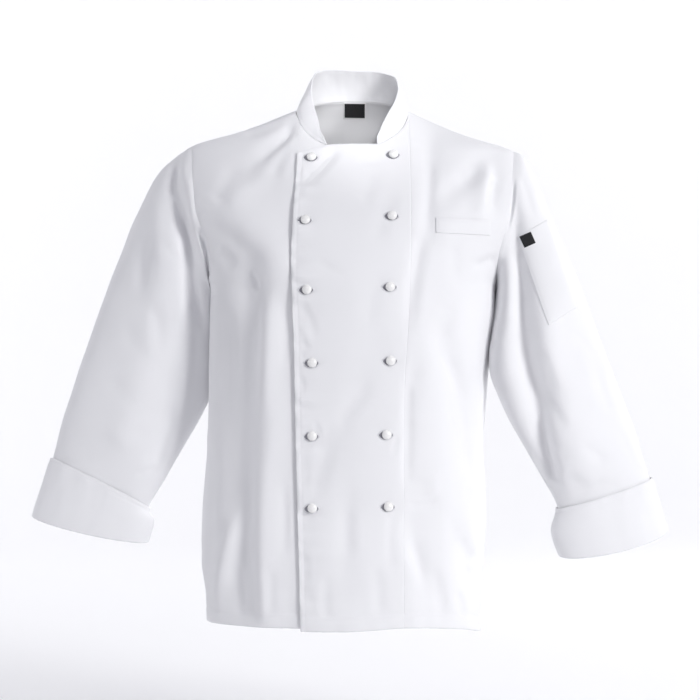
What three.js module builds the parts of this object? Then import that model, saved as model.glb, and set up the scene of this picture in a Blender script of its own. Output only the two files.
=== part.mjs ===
import * as THREE from 'three';

// A double-breasted chef's jacket, filled out as if it were worn, with nobody inside it.
// Millimetres, +Z up. The front faces -Y and the wearer's left is at +X.
// The origin is in the middle of the neck, level with the two high shoulder points.

// Driving sizes
const clothThickness = 1.6;
const seamGap = 0.3;
const sectionPower = 2.2;        // 2 is an ellipse, and a higher power is a squarer chest
const neckHalfWidth = 82;
const neckDrop = 62;             // from the high shoulder points down to the front of the neck
const underNeckDrop = 4;         // how much lower the under front is cut at the middle
const backNeckRise = 20;
const backNeckReach = 60;
const backNeckFall = 80;         // the height over which the rise at the back of the neck dies away
const backNeckPower = 1.5;
const underarm = -262;
const overlapLift = 5;           // how far the overlap stands off the front below it
const freeEdgeLift = 2;
const underFrontReach = 58;      // how far the under front runs on past the middle
const nominalHem = -750;
const lowestShoulder = -62;

// Where folds and lifts die away, across the front or down from the shoulders
const seamFadeShare = 0.35;      // the share of the depth over which folds flatten towards a seam
const underFoldFade = { from: -98, to: -74 };
const overFoldFade = { from: -90, to: -60 };
const overlapFade = { from: 65, to: 125 };
const overlapFadeDown = 45;
const underNeckFade = { from: -25, to: 5 };
const freeEdgeFade = 12;

// Rows and columns of the cloth
const rowsBelowUnderarm = 12;
const rowsAboveUnderarm = 10;
const columnsBesideNeck = 10;
const freeSleeveRings = 16;      // between the armhole and the cuff
const sleeveRingSpread = 1.25;   // rings lie closer together near the armhole where this is over 1

// The body at each height: half widths to the wearer's right and left of the middle, and how far
// the front and the back stand from the side seams.
const bodySections = [
  { z: 0, right: 82, left: 82, front: 25, back: 60 },
  { z: -14, right: 120, left: 112, front: 33, back: 70 },
  { z: -24, right: 147, left: 135, front: 39, back: 77 },
  { z: -35, right: 179, left: 163, front: 45, back: 83 },
  { z: -44, right: 213, left: 192, front: 50, back: 87 },
  { z: -52, right: 236, left: 220, front: 55, back: 91 },
  { z: -60, right: 245, left: 237, front: 61, back: 95 },
  { z: -80, right: 254, left: 251, front: 73, back: 101 },
  { z: -110, right: 261, left: 261, front: 89, back: 108 },
  { z: -145, right: 262, left: 262, front: 103, back: 112 },
  { z: -170, right: 256, left: 256, front: 111, back: 113 },
  { z: -192, right: 246, left: 247, front: 116, back: 114 },
  { z: -215, right: 231, left: 232, front: 120, back: 114 },
  { z: -240, right: 216.5, left: 217.5, front: 124, back: 114 },
  { z: -262, right: 209.5, left: 211, front: 126, back: 114 },
  { z: -300, right: 209.8, left: 210, front: 128, back: 113 },
  { z: -340, right: 211, left: 205, front: 130, back: 112 },
  { z: -412, right: 212, left: 198.5, front: 131, back: 108 },
  { z: -500, right: 214.5, left: 192.5, front: 130, back: 108 },
  { z: -574, right: 220.5, left: 196.9, front: 130, back: 111 },
  { z: -618, right: 222.3, left: 196, front: 131, back: 114 },
  { z: -662, right: 222, left: 192.5, front: 132, back: 116 },
  { z: -721, right: 214.6, left: 188.8, front: 133, back: 118 },
  { z: -770, right: 213, left: 188, front: 133, back: 118 },
];

// Where the cloth of the body ends at each armhole, from the shoulder point to the underarm
const armholes = {
  right: { side: -1, shoulder: -52 },
  left: { side: 1, shoulder: -60 },
};
const armholeEdge = [
  { z: -52, right: 236, left: 237 },
  { z: -60, right: 235.8, left: 237 },
  { z: -80, right: 234.5, left: 235 },
  { z: -110, right: 232, left: 231.5 },
  { z: -145, right: 229.5, left: 228 },
  { z: -170, right: 224, left: 224 },
  { z: -192, right: 216, left: 218 },
  { z: -215, right: 211, left: 213 },
  { z: -240, right: 209.6, left: 211.4 },
  { z: -262, right: 209.5, left: 211 },
];

// The lower edges of the right front, the left front and the back, across the jacket
const rightHem = [
  { x: -213, z: -748.7 },
  { x: -75, z: -748.5 },
  { x: 60, z: -747 },
];
const leftHem = [
  { x: -80, z: -752.4 },
  { x: -20, z: -752.4 },
  { x: 25, z: -750.5 },
  { x: 73, z: -747.8 },
  { x: 110, z: -749.5 },
  { x: 160, z: -755 },
  { x: 188, z: -763.4 },
];
const backHem = [
  { x: -213, z: -748.7 },
  { x: -100, z: -755 },
  { x: 60, z: -758 },
  { x: 188, z: -763.4 },
];

// The overlap: its free edge, its seam to the side panel, and its top edge up to the collar
const freeEdge = [
  { z: 0, x: -78 },
  { z: -67, x: -79.1 },
  { z: -110, x: -81.6 },
  { z: -147, x: -84.1 },
  { z: -213, x: -86.8 },
  { z: -267, x: -85.9 },
  { z: -340, x: -82.9 },
  { z: -480, x: -80.1 },
  { z: -628, x: -76.3 },
  { z: -752, x: -73.4 },
];
const frontSeam = [
  { z: 0, x: 82 },
  { z: -60, x: 82.5 },
  { z: -150, x: 83.4 },
  { z: -270, x: 81.8 },
  { z: -340, x: 77 },
  { z: -390, x: 73.8 },
  { z: -760, x: 71.7 },
];
const overlapTop = [
  { x: -80, z: -68 },
  { x: -62, z: -62.9 },
  { x: -44, z: -58.3 },
  { x: -27, z: -56 },
  { x: -2, z: -55.3 },
  { x: 19, z: -55.4 },
  { x: 36, z: -55.7 },
];
const collarMeetsOverlap = 36;
const rightCollarEnd = -38;

// The columns of cloth that end on the neckline, by their place across the jacket at the top
const rightNeckColumns = [-82, -77, -64, -51, rightCollarEnd, 4, underFrontReach];
const backNeckColumns = [-82, -77, -62, -38, -13, 13, 38, 62, 77, 82];
const overlapColumns = [-80, -55, -25, 5, collarMeetsOverlap, 48, 62, 77, 82];

// Folds of the body, in front view: where each one runs, how wide it is to each side, and how
// far it stands out, or in where the height is below zero.
const frontFolds = [
  { fromX: -132, fromZ: -285, toX: -139, toZ: -700, width: 12, height: -6 },
  { fromX: -108, fromZ: -270, toX: -108, toZ: -705, width: 14, height: 7 },
  { fromX: -168, fromZ: -585, toX: -196, toZ: -712, width: 12, height: 5 },
  { fromX: -150, fromZ: -652, toX: -142, toZ: -720, width: 9, height: -4 },
  { fromX: -80, fromZ: -26, toX: -140, toZ: -84, width: 11, height: -4 },
  { fromX: -96, fromZ: -58, toX: -150, toZ: -118, width: 11, height: 3 },
  { fromX: -212, fromZ: -196, toX: -132, toZ: -266, width: 20, height: -6 },
  { fromX: -178, fromZ: -130, toX: -120, toZ: -200, width: 18, height: 4 },
  { fromX: -188, fromZ: -330, toX: -176, toZ: -560, width: 15, height: -5 },
  { fromX: 112, fromZ: -70, toX: 110, toZ: -165, width: 10, height: -3 },
  { fromX: 110, fromZ: -165, toX: 88, toZ: -262, width: 10, height: -3 },
  { fromX: 188, fromZ: -82, toX: 150, toZ: -116, width: 12, height: -6 },
  { fromX: 192, fromZ: -100, toX: 187, toZ: -140, width: 9, height: 5 },
  { fromX: 208, fromZ: -104, toX: 206, toZ: -138, width: 8, height: -4 },
  { fromX: 128, fromZ: -346, toX: 160, toZ: -440, width: 13, height: -6 },
  { fromX: 162, fromZ: -446, toX: 172, toZ: -555, width: 13, height: -6 },
  { fromX: 84, fromZ: -400, toX: 84, toZ: -530, width: 9, height: -3 },
  { fromX: 112, fromZ: -330, toX: 130, toZ: -560, width: 16, height: 4 },
  { fromX: 86, fromZ: -615, toX: 108, toZ: -694, width: 13, height: -5 },
  { fromX: 150, fromZ: -618, toX: 166, toZ: -672, width: 10, height: -4 },
  { fromX: -34, fromZ: -95, toX: -74, toZ: -142, width: 13, height: -2 },
  { fromX: 20, fromZ: -370, toX: -34, toZ: -490, width: 18, height: -2 },
  { fromX: -8, fromZ: -575, toX: -12, toZ: -668, width: 12, height: -2 },
];
const backFolds = [
  { fromX: -196, fromZ: -150, toX: -120, toZ: -250, width: 17, height: -7 },
  { fromX: 192, fromZ: -165, toX: 122, toZ: -262, width: 16, height: -6 },
  { fromX: -150, fromZ: -300, toX: -122, toZ: -560, width: 17, height: 6 },
  { fromX: 138, fromZ: -330, toX: 118, toZ: -600, width: 15, height: 6 },
  { fromX: -96, fromZ: -340, toX: -88, toZ: -640, width: 15, height: -6 },
  { fromX: 84, fromZ: -300, toX: 92, toZ: -610, width: 17, height: -5 },
  { fromX: -60, fromZ: -70, toX: -112, toZ: -160, width: 16, height: -4 },
  { fromX: 52, fromZ: -74, toX: 98, toZ: -172, width: 14, height: -4 },
  { fromX: -168, fromZ: -600, toX: -182, toZ: -720, width: 12, height: 4 },
  { fromX: 26, fromZ: -430, toX: 14, toZ: -700, width: 15, height: 3 },
];

// One row for each ring along a sleeve: the ends of the ring in front view, on the outer and on the
// inner side, where its middle lies in depth, its half depth, and how much its front hangs lower.
const sleeveSections = {
  right: [
    { outerX: -236, outerZ: -52, innerX: -209.5, innerZ: -262, middle: 0, depth: 56, sag: 0 },
    { outerX: -259, outerZ: -65, innerX: -213, innerZ: -266, middle: 5, depth: 56, sag: 0 },
    { outerX: -291.6, outerZ: -96, innerX: -211.5, innerZ: -284, middle: 18, depth: 54, sag: 0 },
    { outerX: -323.3, outerZ: -156, innerX: -208, innerZ: -315, middle: 28, depth: 52, sag: 0 },
    { outerX: -344, outerZ: -207, innerX: -205, innerZ: -350, middle: 36, depth: 51, sag: 0 },
    { outerX: -364.5, outerZ: -258, innerX: -204.5, innerZ: -385, middle: 41, depth: 50, sag: 0 },
    { outerX: -382.6, outerZ: -308, innerX: -211, innerZ: -420, middle: 41, depth: 49, sag: 0 },
    { outerX: -401, outerZ: -361, innerX: -226, innerZ: -452, middle: 40, depth: 48, sag: 0 },
    { outerX: -418.3, outerZ: -414, innerX: -248, innerZ: -490, middle: 38, depth: 45, sag: 0 },
    { outerX: -434.6, outerZ: -465, innerX: -274, innerZ: -535, middle: 36, depth: 39, sag: 0 },
    { outerX: -446.5, outerZ: -514, innerX: -304, innerZ: -587, middle: 34, depth: 30, sag: -5 },
    { outerX: -460, outerZ: -559, innerX: -299.5, innerZ: -608, middle: 34, depth: 30, sag: 1 },
    { outerX: -473.9, outerZ: -598.5, innerX: -306.5, innerZ: -635.9, middle: 34, depth: 32, sag: 6 },
  ],
  left: [
    { outerX: 237, outerZ: -60, innerX: 211, innerZ: -262, middle: 0, depth: 56, sag: 0 },
    { outerX: 252, outerZ: -68, innerX: 215.5, innerZ: -266, middle: -5, depth: 56, sag: 0 },
    { outerX: 271, outerZ: -104, innerX: 216, innerZ: -281, middle: -14, depth: 56, sag: 0 },
    { outerX: 290.7, outerZ: -155, innerX: 212.5, innerZ: -302, middle: -25, depth: 54, sag: 0 },
    { outerX: 311, outerZ: -204, innerX: 206, innerZ: -330, middle: -34, depth: 53, sag: 0 },
    { outerX: 331.5, outerZ: -254, innerX: 200, innerZ: -360, middle: -40, depth: 52, sag: 0 },
    { outerX: 349, outerZ: -305, innerX: 201, innerZ: -390, middle: -41, depth: 51, sag: 0 },
    { outerX: 369, outerZ: -358, innerX: 213, innerZ: -422, middle: -42, depth: 50, sag: 0 },
    { outerX: 388.5, outerZ: -408, innerX: 231.5, innerZ: -461, middle: -42, depth: 47, sag: 0 },
    { outerX: 406, outerZ: -456, innerX: 254, innerZ: -501.5, middle: -41, depth: 43, sag: 0 },
    { outerX: 421.5, outerZ: -503, innerX: 276, innerZ: -540, middle: -40, depth: 37, sag: 1 },
    { outerX: 433.5, outerZ: -539.5, innerX: 299, innerZ: -583, middle: -39, depth: 31, sag: 3 },
    { outerX: 445, outerZ: -577.5, innerX: 293.5, innerZ: -616.5, middle: -39, depth: 31, sag: 7 },
    { outerX: 456.4, outerZ: -613.3, innerX: 303, innerZ: -649.5, middle: -39, depth: 33, sag: 12 },
  ],
};
const cuffStart = { right: 10, left: 11 };     // the row where each turned-back cuff begins
const armholeBlend = 2.5;                      // rows over which the armhole's own shape dies away
const armholeBlendPower = 1.5;
const sleeveFoldFade = 1.5;                    // rows over which folds grow from the armhole

// Folds of the sleeves: rows along the table above, and degrees round from the outer side through
// the front. The width is in millimetres of cloth.
const sleeveRowLength = 50;
const sleeveDegreeLength = 1.25;
const sleeveFolds = {
  right: [
    { fromRow: 1.1, fromTurn: 34, toRow: 1.7, toTurn: 90, width: 14, height: -9 },
    { fromRow: 1.8, fromTurn: 94, toRow: 3.2, toTurn: 124, width: 14, height: -9 },
    { fromRow: 3.4, fromTurn: 126, toRow: 7.2, toTurn: 140, width: 14, height: -6 },
    { fromRow: 2.6, fromTurn: 78, toRow: 8.5, toTurn: 92, width: 15, height: 5 },
    { fromRow: 1.2, fromTurn: 214, toRow: 4.2, toTurn: 250, width: 13, height: -8 },
    { fromRow: 4.6, fromTurn: 300, toRow: 8.6, toTurn: 282, width: 14, height: -5 },
  ],
  left: [
    { fromRow: 2, fromTurn: 94, toRow: 3.9, toTurn: 104, width: 13, height: -8 },
    { fromRow: 4, fromTurn: 105, toRow: 7.4, toTurn: 118, width: 14, height: -13 },
    { fromRow: 7.5, fromTurn: 119, toRow: 10.1, toTurn: 148, width: 14, height: -9 },
    { fromRow: 5.6, fromTurn: 78, toRow: 10, toTurn: 100, width: 13, height: 4 },
    { fromRow: 1.4, fromTurn: 212, toRow: 4.8, toTurn: 244, width: 13, height: -8 },
    { fromRow: 5.2, fromTurn: 292, toRow: 9, toTurn: 274, width: 14, height: -5 },
  ],
};

// Cuffs: the band stands off the sleeve, and a lip turns in under the sleeve's end.
const cuffThickness = 2.4;
const cuffStand = 3.7;
const cuffBulge = 1;
const cuffLip = 2;
const cuffEndGap = 0.6;          // between the sleeve's end and the lip

// The top edge of the standing collar, by the angle round the neck from the front, on either side
const collarThickness = 2.2;
const collarBulge = 2;
const collarRows = 3;
const collarFullHeight = 40;     // where it is lower than this it bulges less
const collarAim = 60;            // a height over the neck that the collar's foot points up to
const collarTop = [
  { turn: 20, x: 32.5, y: -58, z: -50 },
  { turn: 26, x: 35, y: -56, z: -43 },
  { turn: 36, x: 39.5, y: -51, z: -33 },
  { turn: 48, x: 44.5, y: -44, z: -21 },
  { turn: 60, x: 51, y: -35, z: -8 },
  { turn: 75, x: 60, y: -22, z: 12 },
  { turn: 90, x: 64.5, y: -6, z: 36 },
  { turn: 110, x: 60.5, y: 16, z: 55 },
  { turn: 130, x: 47, y: 36, z: 63 },
  { turn: 150, x: 27, y: 46, z: 66 },
  { turn: 180, x: 0, y: 50, z: 66 },
];
// The top leans to the wearer's left at the back, and its right end lies further out
const collarLean = { side: 3.5, fromTurn: 60, toTurn: 90 };
const rightEndShift = { side: -8, fromTurn: 75, toTurn: 30 };

// Twelve domed stud buttons, in six pairs down the overlap
const button = { radius: 7.5, stem: 3, stemLength: 2.4, rim: 1.2, height: 6.6, crown: 0.72, sides: 10 };
const buttonPairs = [
  { rightX: -59.2, rightZ: -74, leftX: 59.1, leftZ: -70.2 },
  { rightX: -67.2, rightZ: -166.6, leftX: 56.6, leftZ: -160.7 },
  { rightX: -64.8, rightZ: -266.5, leftX: 53.5, leftZ: -262.4 },
  { rightX: -57.2, rightZ: -370.4, leftX: 54.1, leftZ: -367.6 },
  { rightX: -57.4, rightZ: -474.6, leftX: 48.3, leftZ: -472.6 },
  { rightX: -57.2, rightZ: -576.9, leftX: 50.8, leftZ: -574.8 },
];

// Patches that lie on a panel: their corners in front view, how far they stand off, and how thick
const chestWelt = {
  top: { startX: 119.5, startZ: -163, endX: 198, endZ: -165 },
  bottom: { startX: 119.5, startZ: -184.5, endX: 198, endZ: -187 },
  across: 8, down: 2, gap: 1.5, thickness: 1.8,
};
const penPocket = {
  top: { startX: 240, startZ: -189, endX: 283, endZ: -163 },
  bottom: { startX: 281, startZ: -316.5, endX: 323, endZ: -291 },
  across: 7, down: 11, gap: 1.6, thickness: 1.5,
};
const sleeveLabel = {
  top: { startX: 242, startZ: -188, endX: 258, endZ: -181 },
  bottom: { startX: 249, startZ: -204.5, endX: 265, endZ: -197.5 },
  across: 3, down: 3, gap: 0.9, thickness: 0.6,
};
const neckLabel = {
  top: { startX: -11.5, startZ: 15, endX: 18.5, endZ: 15 },
  bottom: { startX: -11.5, startZ: -6, endX: 18.5, endZ: -6 },
  across: 2, down: 2, gap: 0.6, thickness: 0.6,
};

const cotton = { color: 0xf1f0f4, roughness: 0.86, metalness: 0 };
const studWhite = { color: 0xf7f6f3, roughness: 0.25, metalness: 0 };
const wovenBlack = { color: 0x141418, roughness: 0.75, metalness: 0 };

function smoothStep(from, to, value) {
  const share = Math.min(1, Math.max(0, (value - from) / (to - from)));
  return share * share * (3 - 2 * share);
}

function fadeIn(fade, value) {
  return smoothStep(fade.from, fade.to, value);
}

// A smooth curve through one column of a table that does not swing past its rows
function smoothColumn(rows, place, column) {
  const sorted = [...rows].sort((a, b) => a[place] - b[place]);
  const at = sorted.map((row) => row[place]);
  const value = sorted.map((row) => row[column]);
  const last = at.length - 1;
  const slope = at.slice(1).map((next, i) => (value[i + 1] - value[i]) / (next - at[i]));
  const tangent = at.map((_, i) => {
    if (i === 0) return slope[0];
    if (i === last) return slope[last - 1];
    const turns = slope[i - 1] * slope[i] <= 0;
    return turns ? 0 : (2 * slope[i - 1] * slope[i]) / (slope[i - 1] + slope[i]);
  });
  return (wanted) => {
    const x = Math.min(at[last], Math.max(at[0], wanted));
    let i = 0;
    while (i < last - 1 && x > at[i + 1]) i += 1;
    const span = at[i + 1] - at[i];
    const t = (x - at[i]) / span;
    const rest = 1 - t;
    return value[i] * rest * rest * (1 + 2 * t) + value[i + 1] * t * t * (3 - 2 * t)
      + span * (tangent[i] * t * rest * rest - tangent[i + 1] * t * t * rest);
  };
}

const halfWidths = {
  right: smoothColumn(bodySections, 'z', 'right'),
  left: smoothColumn(bodySections, 'z', 'left'),
};
const depths = {
  front: smoothColumn(bodySections, 'z', 'front'),
  back: smoothColumn(bodySections, 'z', 'back'),
};
const armholeEdges = {
  right: smoothColumn(armholeEdge, 'z', 'right'),
  left: smoothColumn(armholeEdge, 'z', 'left'),
};
const freeEdgeAt = smoothColumn(freeEdge, 'z', 'x');
const frontSeamAt = smoothColumn(frontSeam, 'z', 'x');

function foldHeight(folds, x, z) {
  let height = 0;
  for (const fold of folds) {
    const runX = fold.toX - fold.fromX;
    const runZ = fold.toZ - fold.fromZ;
    const length = Math.hypot(runX, runZ);
    const along = ((x - fold.fromX) * runX + (z - fold.fromZ) * runZ) / length;
    const sideways = ((x - fold.fromX) * runZ - (z - fold.fromZ) * runX) / length;
    const past = Math.max(0, -along, along - length) / 2;
    height += fold.height * Math.exp(-(sideways ** 2 + past ** 2) / (2 * fold.width ** 2));
  }
  return height;
}

// Each layer of the body: which face it lies on, its folds, its lower edge, and how far it is lifted
const layers = {
  rightFront: {
    face: 'front',
    hem: smoothColumn(rightHem, 'x', 'z'),
    height: (x, z) => foldHeight(frontFolds, x, z) * (1 - fadeIn(underFoldFade, x)),
  },
  leftFront: {
    face: 'front',
    hem: smoothColumn(leftHem, 'x', 'z'),
    height: (x, z) => {
      const lift = overlapLift * (1 - fadeIn(overlapFade, x)) * smoothStep(0, overlapFadeDown, -z);
      const edge = freeEdgeLift * Math.exp((freeEdgeAt(z) - x) / freeEdgeFade);
      return lift + edge + foldHeight(frontFolds, x, z) * fadeIn(overFoldFade, x);
    },
  },
  back: {
    face: 'back',
    hem: smoothColumn(backHem, 'x', 'z'),
    height: (x, z) => foldHeight(backFolds, x, z),
  },
};

// The cloth's outer surface at a place in front view, with the direction that it faces
function bodySurface(layer, x, z) {
  const sign = layer.face === 'front' ? -1 : 1;
  const widthAt = x < 0 ? halfWidths.right : halfWidths.left;
  const depthAt = depths[layer.face];
  const width = widthAt(z);
  const depth = depthAt(z);
  const across = Math.min(1, Math.abs(x) / width);
  const share = (1 - across ** sectionPower) ** (1 / sectionPower);
  const level = Math.min(z, -1);
  const widthSlope = (widthAt(level + 1) - widthAt(level - 1)) / 2;
  const depthSlope = (depthAt(level + 1) - depthAt(level - 1)) / 2;
  const normal = new THREE.Vector3(
    (Math.sign(x) * across ** (sectionPower - 1)) / width,
    (sign * share ** (sectionPower - 1)) / depth,
    -(across ** sectionPower * widthSlope) / width - (share ** sectionPower * depthSlope) / depth,
  ).normalize();
  const y = sign * depth * share;
  const reach = Math.max(0, y) / backNeckReach;
  const rise = backNeckRise * reach ** backNeckPower * Math.exp(z / backNeckFall);
  const height = layer.height(x, z) * smoothStep(0, seamFadeShare, share);
  const point = new THREE.Vector3(x, y, z + rise).addScaledVector(normal, height);
  return { point, normal };
}

// The height at which the shoulder line passes a place across the jacket, found by halving
function shoulderHeight(x) {
  const widthAt = x < 0 ? halfWidths.right : halfWidths.left;
  let [low, high] = [lowestShoulder, 0];
  while (high - low > 1e-9) {
    const middle = (low + high) / 2;
    if (widthAt(middle) > Math.abs(x)) low = middle;
    else high = middle;
  }
  return high;
}

function neckHeight(x) {
  return -neckDrop * Math.sqrt(Math.max(0, 1 - (x / neckHalfWidth) ** 2));
}

function underNeckHeight(x) {
  return neckHeight(x) - underNeckDrop * fadeIn(underNeckFade, x);
}

const overlapTopAt = smoothColumn(overlapTop, 'x', 'z');

function overlapHeight(x) {
  return x < collarMeetsOverlap ? overlapTopAt(x) : neckHeight(x);
}

// The half width of the cloth at a height: up to the side seam, or to the armhole above it
function clothEdge(name, z) {
  const { shoulder } = armholes[name];
  if (z <= underarm) return halfWidths[name](z);
  return armholeEdges[name](Math.min(z, shoulder));
}

// Columns of cloth between the high shoulder point and the side, as turns from the middle
function sideColumns(name) {
  const { side, shoulder } = armholes[name];
  const edge = armholeEdges[name](shoulder);
  const neckTurn = Math.asin(neckHalfWidth / edge);
  const columns = [];
  for (let i = 0; i <= columnsBesideNeck; i += 1) {
    const turn = neckTurn + ((Math.PI / 2 - neckTurn) * i) / columnsBesideNeck;
    const topX = side * edge * Math.sin(turn);
    columns.push({
      xAt: (z) => side * clothEdge(name, z) * Math.sin(turn),
      top: i === 0 ? 0 : shoulderHeight(topX),
      share: i / columnsBesideNeck,
      topSeam: 'shoulder',
      side: i === columnsBesideNeck ? name : null,
    });
  }
  return columns;
}

function neckColumn(topX, top) {
  const name = topX < 0 ? 'right' : 'left';
  const share = Math.abs(topX) / armholeEdges[name](armholes[name].shoulder);
  const side = Math.sign(topX);
  return { xAt: (z) => side * clothEdge(name, z) * share, top };
}

// The heights of the rows of one column, closer together near the underarm and near the top
function rowHeights(hem, top) {
  const heights = [];
  for (let i = 0; i < rowsBelowUnderarm; i += 1) {
    heights.push(hem + ((underarm - hem) * i) / rowsBelowUnderarm);
  }
  for (let i = 0; i <= rowsAboveUnderarm; i += 1) {
    const share = (1 - Math.cos((Math.PI * i) / rowsAboveUnderarm)) / 2;
    heights.push(underarm + (top - underarm) * share);
  }
  return heights;
}

// The edge of the cloth at an armhole: from the shoulder point down the front, and up the back
function armholeLoop(name, frontLayer) {
  const { side, shoulder } = armholes[name];
  const heights = rowHeights(underarm, shoulder).slice(rowsBelowUnderarm).reverse();
  const down = heights.map((z) => bodySurface(frontLayer, side * armholeEdges[name](z), z));
  const up = heights.slice(1, -1).reverse();
  const loop = [...down, ...up.map((z) => bodySurface(layers.back, side * armholeEdges[name](z), z))];
  loop.forEach((spot, k) => {
    const next = loop[(k + 1) % loop.length].point;
    const before = loop[(k + loop.length - 1) % loop.length].point;
    const tangent = next.clone().sub(before).normalize();
    spot.away = tangent.cross(spot.normal).normalize().multiplyScalar(-side);
  });
  return loop;
}

const loops = {
  right: armholeLoop('right', layers.rightFront),
  left: armholeLoop('left', layers.leftFront),
};

// A grid of cloth, column by column and from the hem up, parted from its neighbours at its seams
function bodyGrid(layer, columns) {
  const sign = layer.face === 'front' ? -1 : 1;
  const half = seamGap / 2;
  return columns.map((column) => {
    const hem = layer.hem(column.xAt(nominalHem));
    const heights = rowHeights(hem, column.top);
    return heights.map((z, i) => {
      const spot = bodySurface(layer, column.xAt(z), z);
      const shift = new THREE.Vector3(column.seamShift ?? 0, 0, 0);
      const atTop = i === heights.length - 1;
      if (column.topSeam && atTop) shift.y = sign * half;
      if (column.side && i <= rowsBelowUnderarm) shift.y = sign * half;
      if (column.side && i >= rowsBelowUnderarm) {
        const step = heights.length - 1 - i;
        const loop = loops[column.side];
        const place = layer.face === 'front' ? step : (loop.length - step) % loop.length;
        shift.addScaledVector(loop[place].away, -half);
      }
      const outer = spot.point.add(shift);
      return { outer, inner: outer.clone().addScaledVector(spot.normal, -clothThickness) };
    });
  });
}

// A closed wall from a grid of outer and inner points, either a sheet or a tube
function wallGeometry(grid, isTube) {
  const rows = grid[0].length;
  const rim = 2 * rows;
  const positions = [];
  for (const column of grid) {
    for (let i = 0; i < rows; i += 1) positions.push(...column[i].outer.toArray());
    for (let i = rows - 1; i >= 0; i -= 1) positions.push(...column[i].inner.toArray());
  }
  const index = [];
  const strips = isTube ? grid.length : grid.length - 1;
  for (let j = 0; j < strips; j += 1) {
    const here = j * rim;
    const there = ((j + 1) % grid.length) * rim;
    for (let i = 0; i < rim; i += 1) {
      const next = (i + 1) % rim;
      // The inner face is cut along the same diagonals as the outer one, so that they never cross
      if (i < rows) index.push(here + i, there + i, there + next, here + i, there + next, here + next);
      else index.push(here + i, there + i, here + next, there + i, there + next, here + next);
    }
  }
  if (!isTube) {
    const last = (grid.length - 1) * rim;
    for (let i = 0; i < rows - 1; i += 1) {
      const [a, b, c, d] = [i, i + 1, rim - 2 - i, rim - 1 - i];
      index.push(a, b, c, a, c, d);
      index.push(last + a, last + c, last + b, last + a, last + d, last + c);
    }
  }
  return closedGeometry(positions, index);
}

// Triangles that are turned round together where they would face inwards
function closedGeometry(positions, index) {
  const corner = (i) => new THREE.Vector3().fromArray(positions, 3 * index[i]);
  let volume = 0;
  for (let i = 0; i < index.length; i += 3) {
    volume += corner(i).dot(corner(i + 1).cross(corner(i + 2)));
  }
  const turned = volume < 0 ? [...index].reverse() : index;
  const geometry = new THREE.BufferGeometry();
  geometry.setAttribute('position', new THREE.Float32BufferAttribute(positions, 3));
  geometry.setIndex(turned);
  geometry.computeVertexNormals();
  return geometry;
}

const jacket = new THREE.Group();

function addPiece(name, geometry, finish) {
  const mesh = new THREE.Mesh(geometry, new THREE.MeshStandardMaterial(finish));
  mesh.name = name;
  jacket.add(mesh);
  return mesh;
}

// Body panels

function rightFrontColumns() {
  const beside = sideColumns('right').reverse();
  const neck = rightNeckColumns.slice(1).map((x) => neckColumn(x, underNeckHeight(x)));
  return [...beside, ...neck];
}

function backColumns() {
  const neck = backNeckColumns.slice(1, -1).map((x) => neckColumn(x, 0));
  return [...sideColumns('right').reverse(), ...neck, ...sideColumns('left')];
}

function overlapColumnList() {
  const start = overlapColumns[0];
  const end = overlapColumns[overlapColumns.length - 1];
  return overlapColumns.map((topX) => {
    const share = (topX - start) / (end - start);
    return {
      xAt: (z) => freeEdgeAt(z) + (frontSeamAt(z) - freeEdgeAt(z)) * share,
      top: overlapHeight(topX),
      seamShift: topX === end ? -seamGap / 2 : 0,
    };
  });
}

function leftSideColumns() {
  return sideColumns('left').map((column) => {
    const xAt = (z) => {
      const edge = clothEdge('left', z);
      const seamTurn = Math.asin(frontSeamAt(z) / edge);
      return edge * Math.sin(seamTurn + (Math.PI / 2 - seamTurn) * column.share);
    };
    return { ...column, xAt, seamShift: column.share === 0 ? seamGap / 2 : 0 };
  });
}

const grids = {
  back: bodyGrid(layers.back, backColumns()),
  rightFront: bodyGrid(layers.rightFront, rightFrontColumns()),
  overlap: bodyGrid(layers.leftFront, overlapColumnList()),
  leftSide: bodyGrid(layers.leftFront, leftSideColumns()),
};
addPiece('back', wallGeometry(grids.back, false), cotton);
addPiece('right_front', wallGeometry(grids.rightFront, false), cotton);
addPiece('left_front_placket', wallGeometry(grids.overlap, false), cotton);
addPiece('left_front_side', wallGeometry(grids.leftSide, false), cotton);

// Sleeves and cuffs

// A point part of the way along a list of rows, on a curve that passes through every row
function alongRows(rows, place) {
  const last = rows.length - 1;
  const i = Math.min(last - 1, Math.floor(place));
  const t = place - i;
  const around = [i - 1, i, i + 1, i + 2].map((n) => rows[Math.min(last, Math.max(0, n))]);
  const blend = (column) => {
    const [a, b, c, d] = around.map((row) => row[column]);
    return b + (t * (c - a + t * (2 * a - 5 * b + 4 * c - d + t * (3 * (b - c) + d - a)))) / 2;
  };
  return Object.fromEntries(Object.keys(rows[0]).map((column) => [column, blend(column)]));
}

function sleeveRing(name, place, turn) {
  const row = alongRows(sleeveSections[name], place);
  const outward = new THREE.Vector3(row.outerX - row.innerX, 0, row.outerZ - row.innerZ);
  const halfChord = outward.length() / 2;
  outward.normalize();
  const down = new THREE.Vector3(outward.z, 0, -outward.x);
  if (down.z > 0) down.negate();
  const [cos, sin] = [Math.cos(turn), Math.sin(turn)];
  const point = new THREE.Vector3((row.outerX + row.innerX) / 2, row.middle - row.depth * sin,
    (row.outerZ + row.innerZ) / 2);
  point.addScaledVector(outward, halfChord * cos).addScaledVector(down, row.sag * sin);
  const normal = outward.multiplyScalar(cos / halfChord);
  normal.y = -sin / row.depth;
  return { point, normal: normal.normalize() };
}

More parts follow.
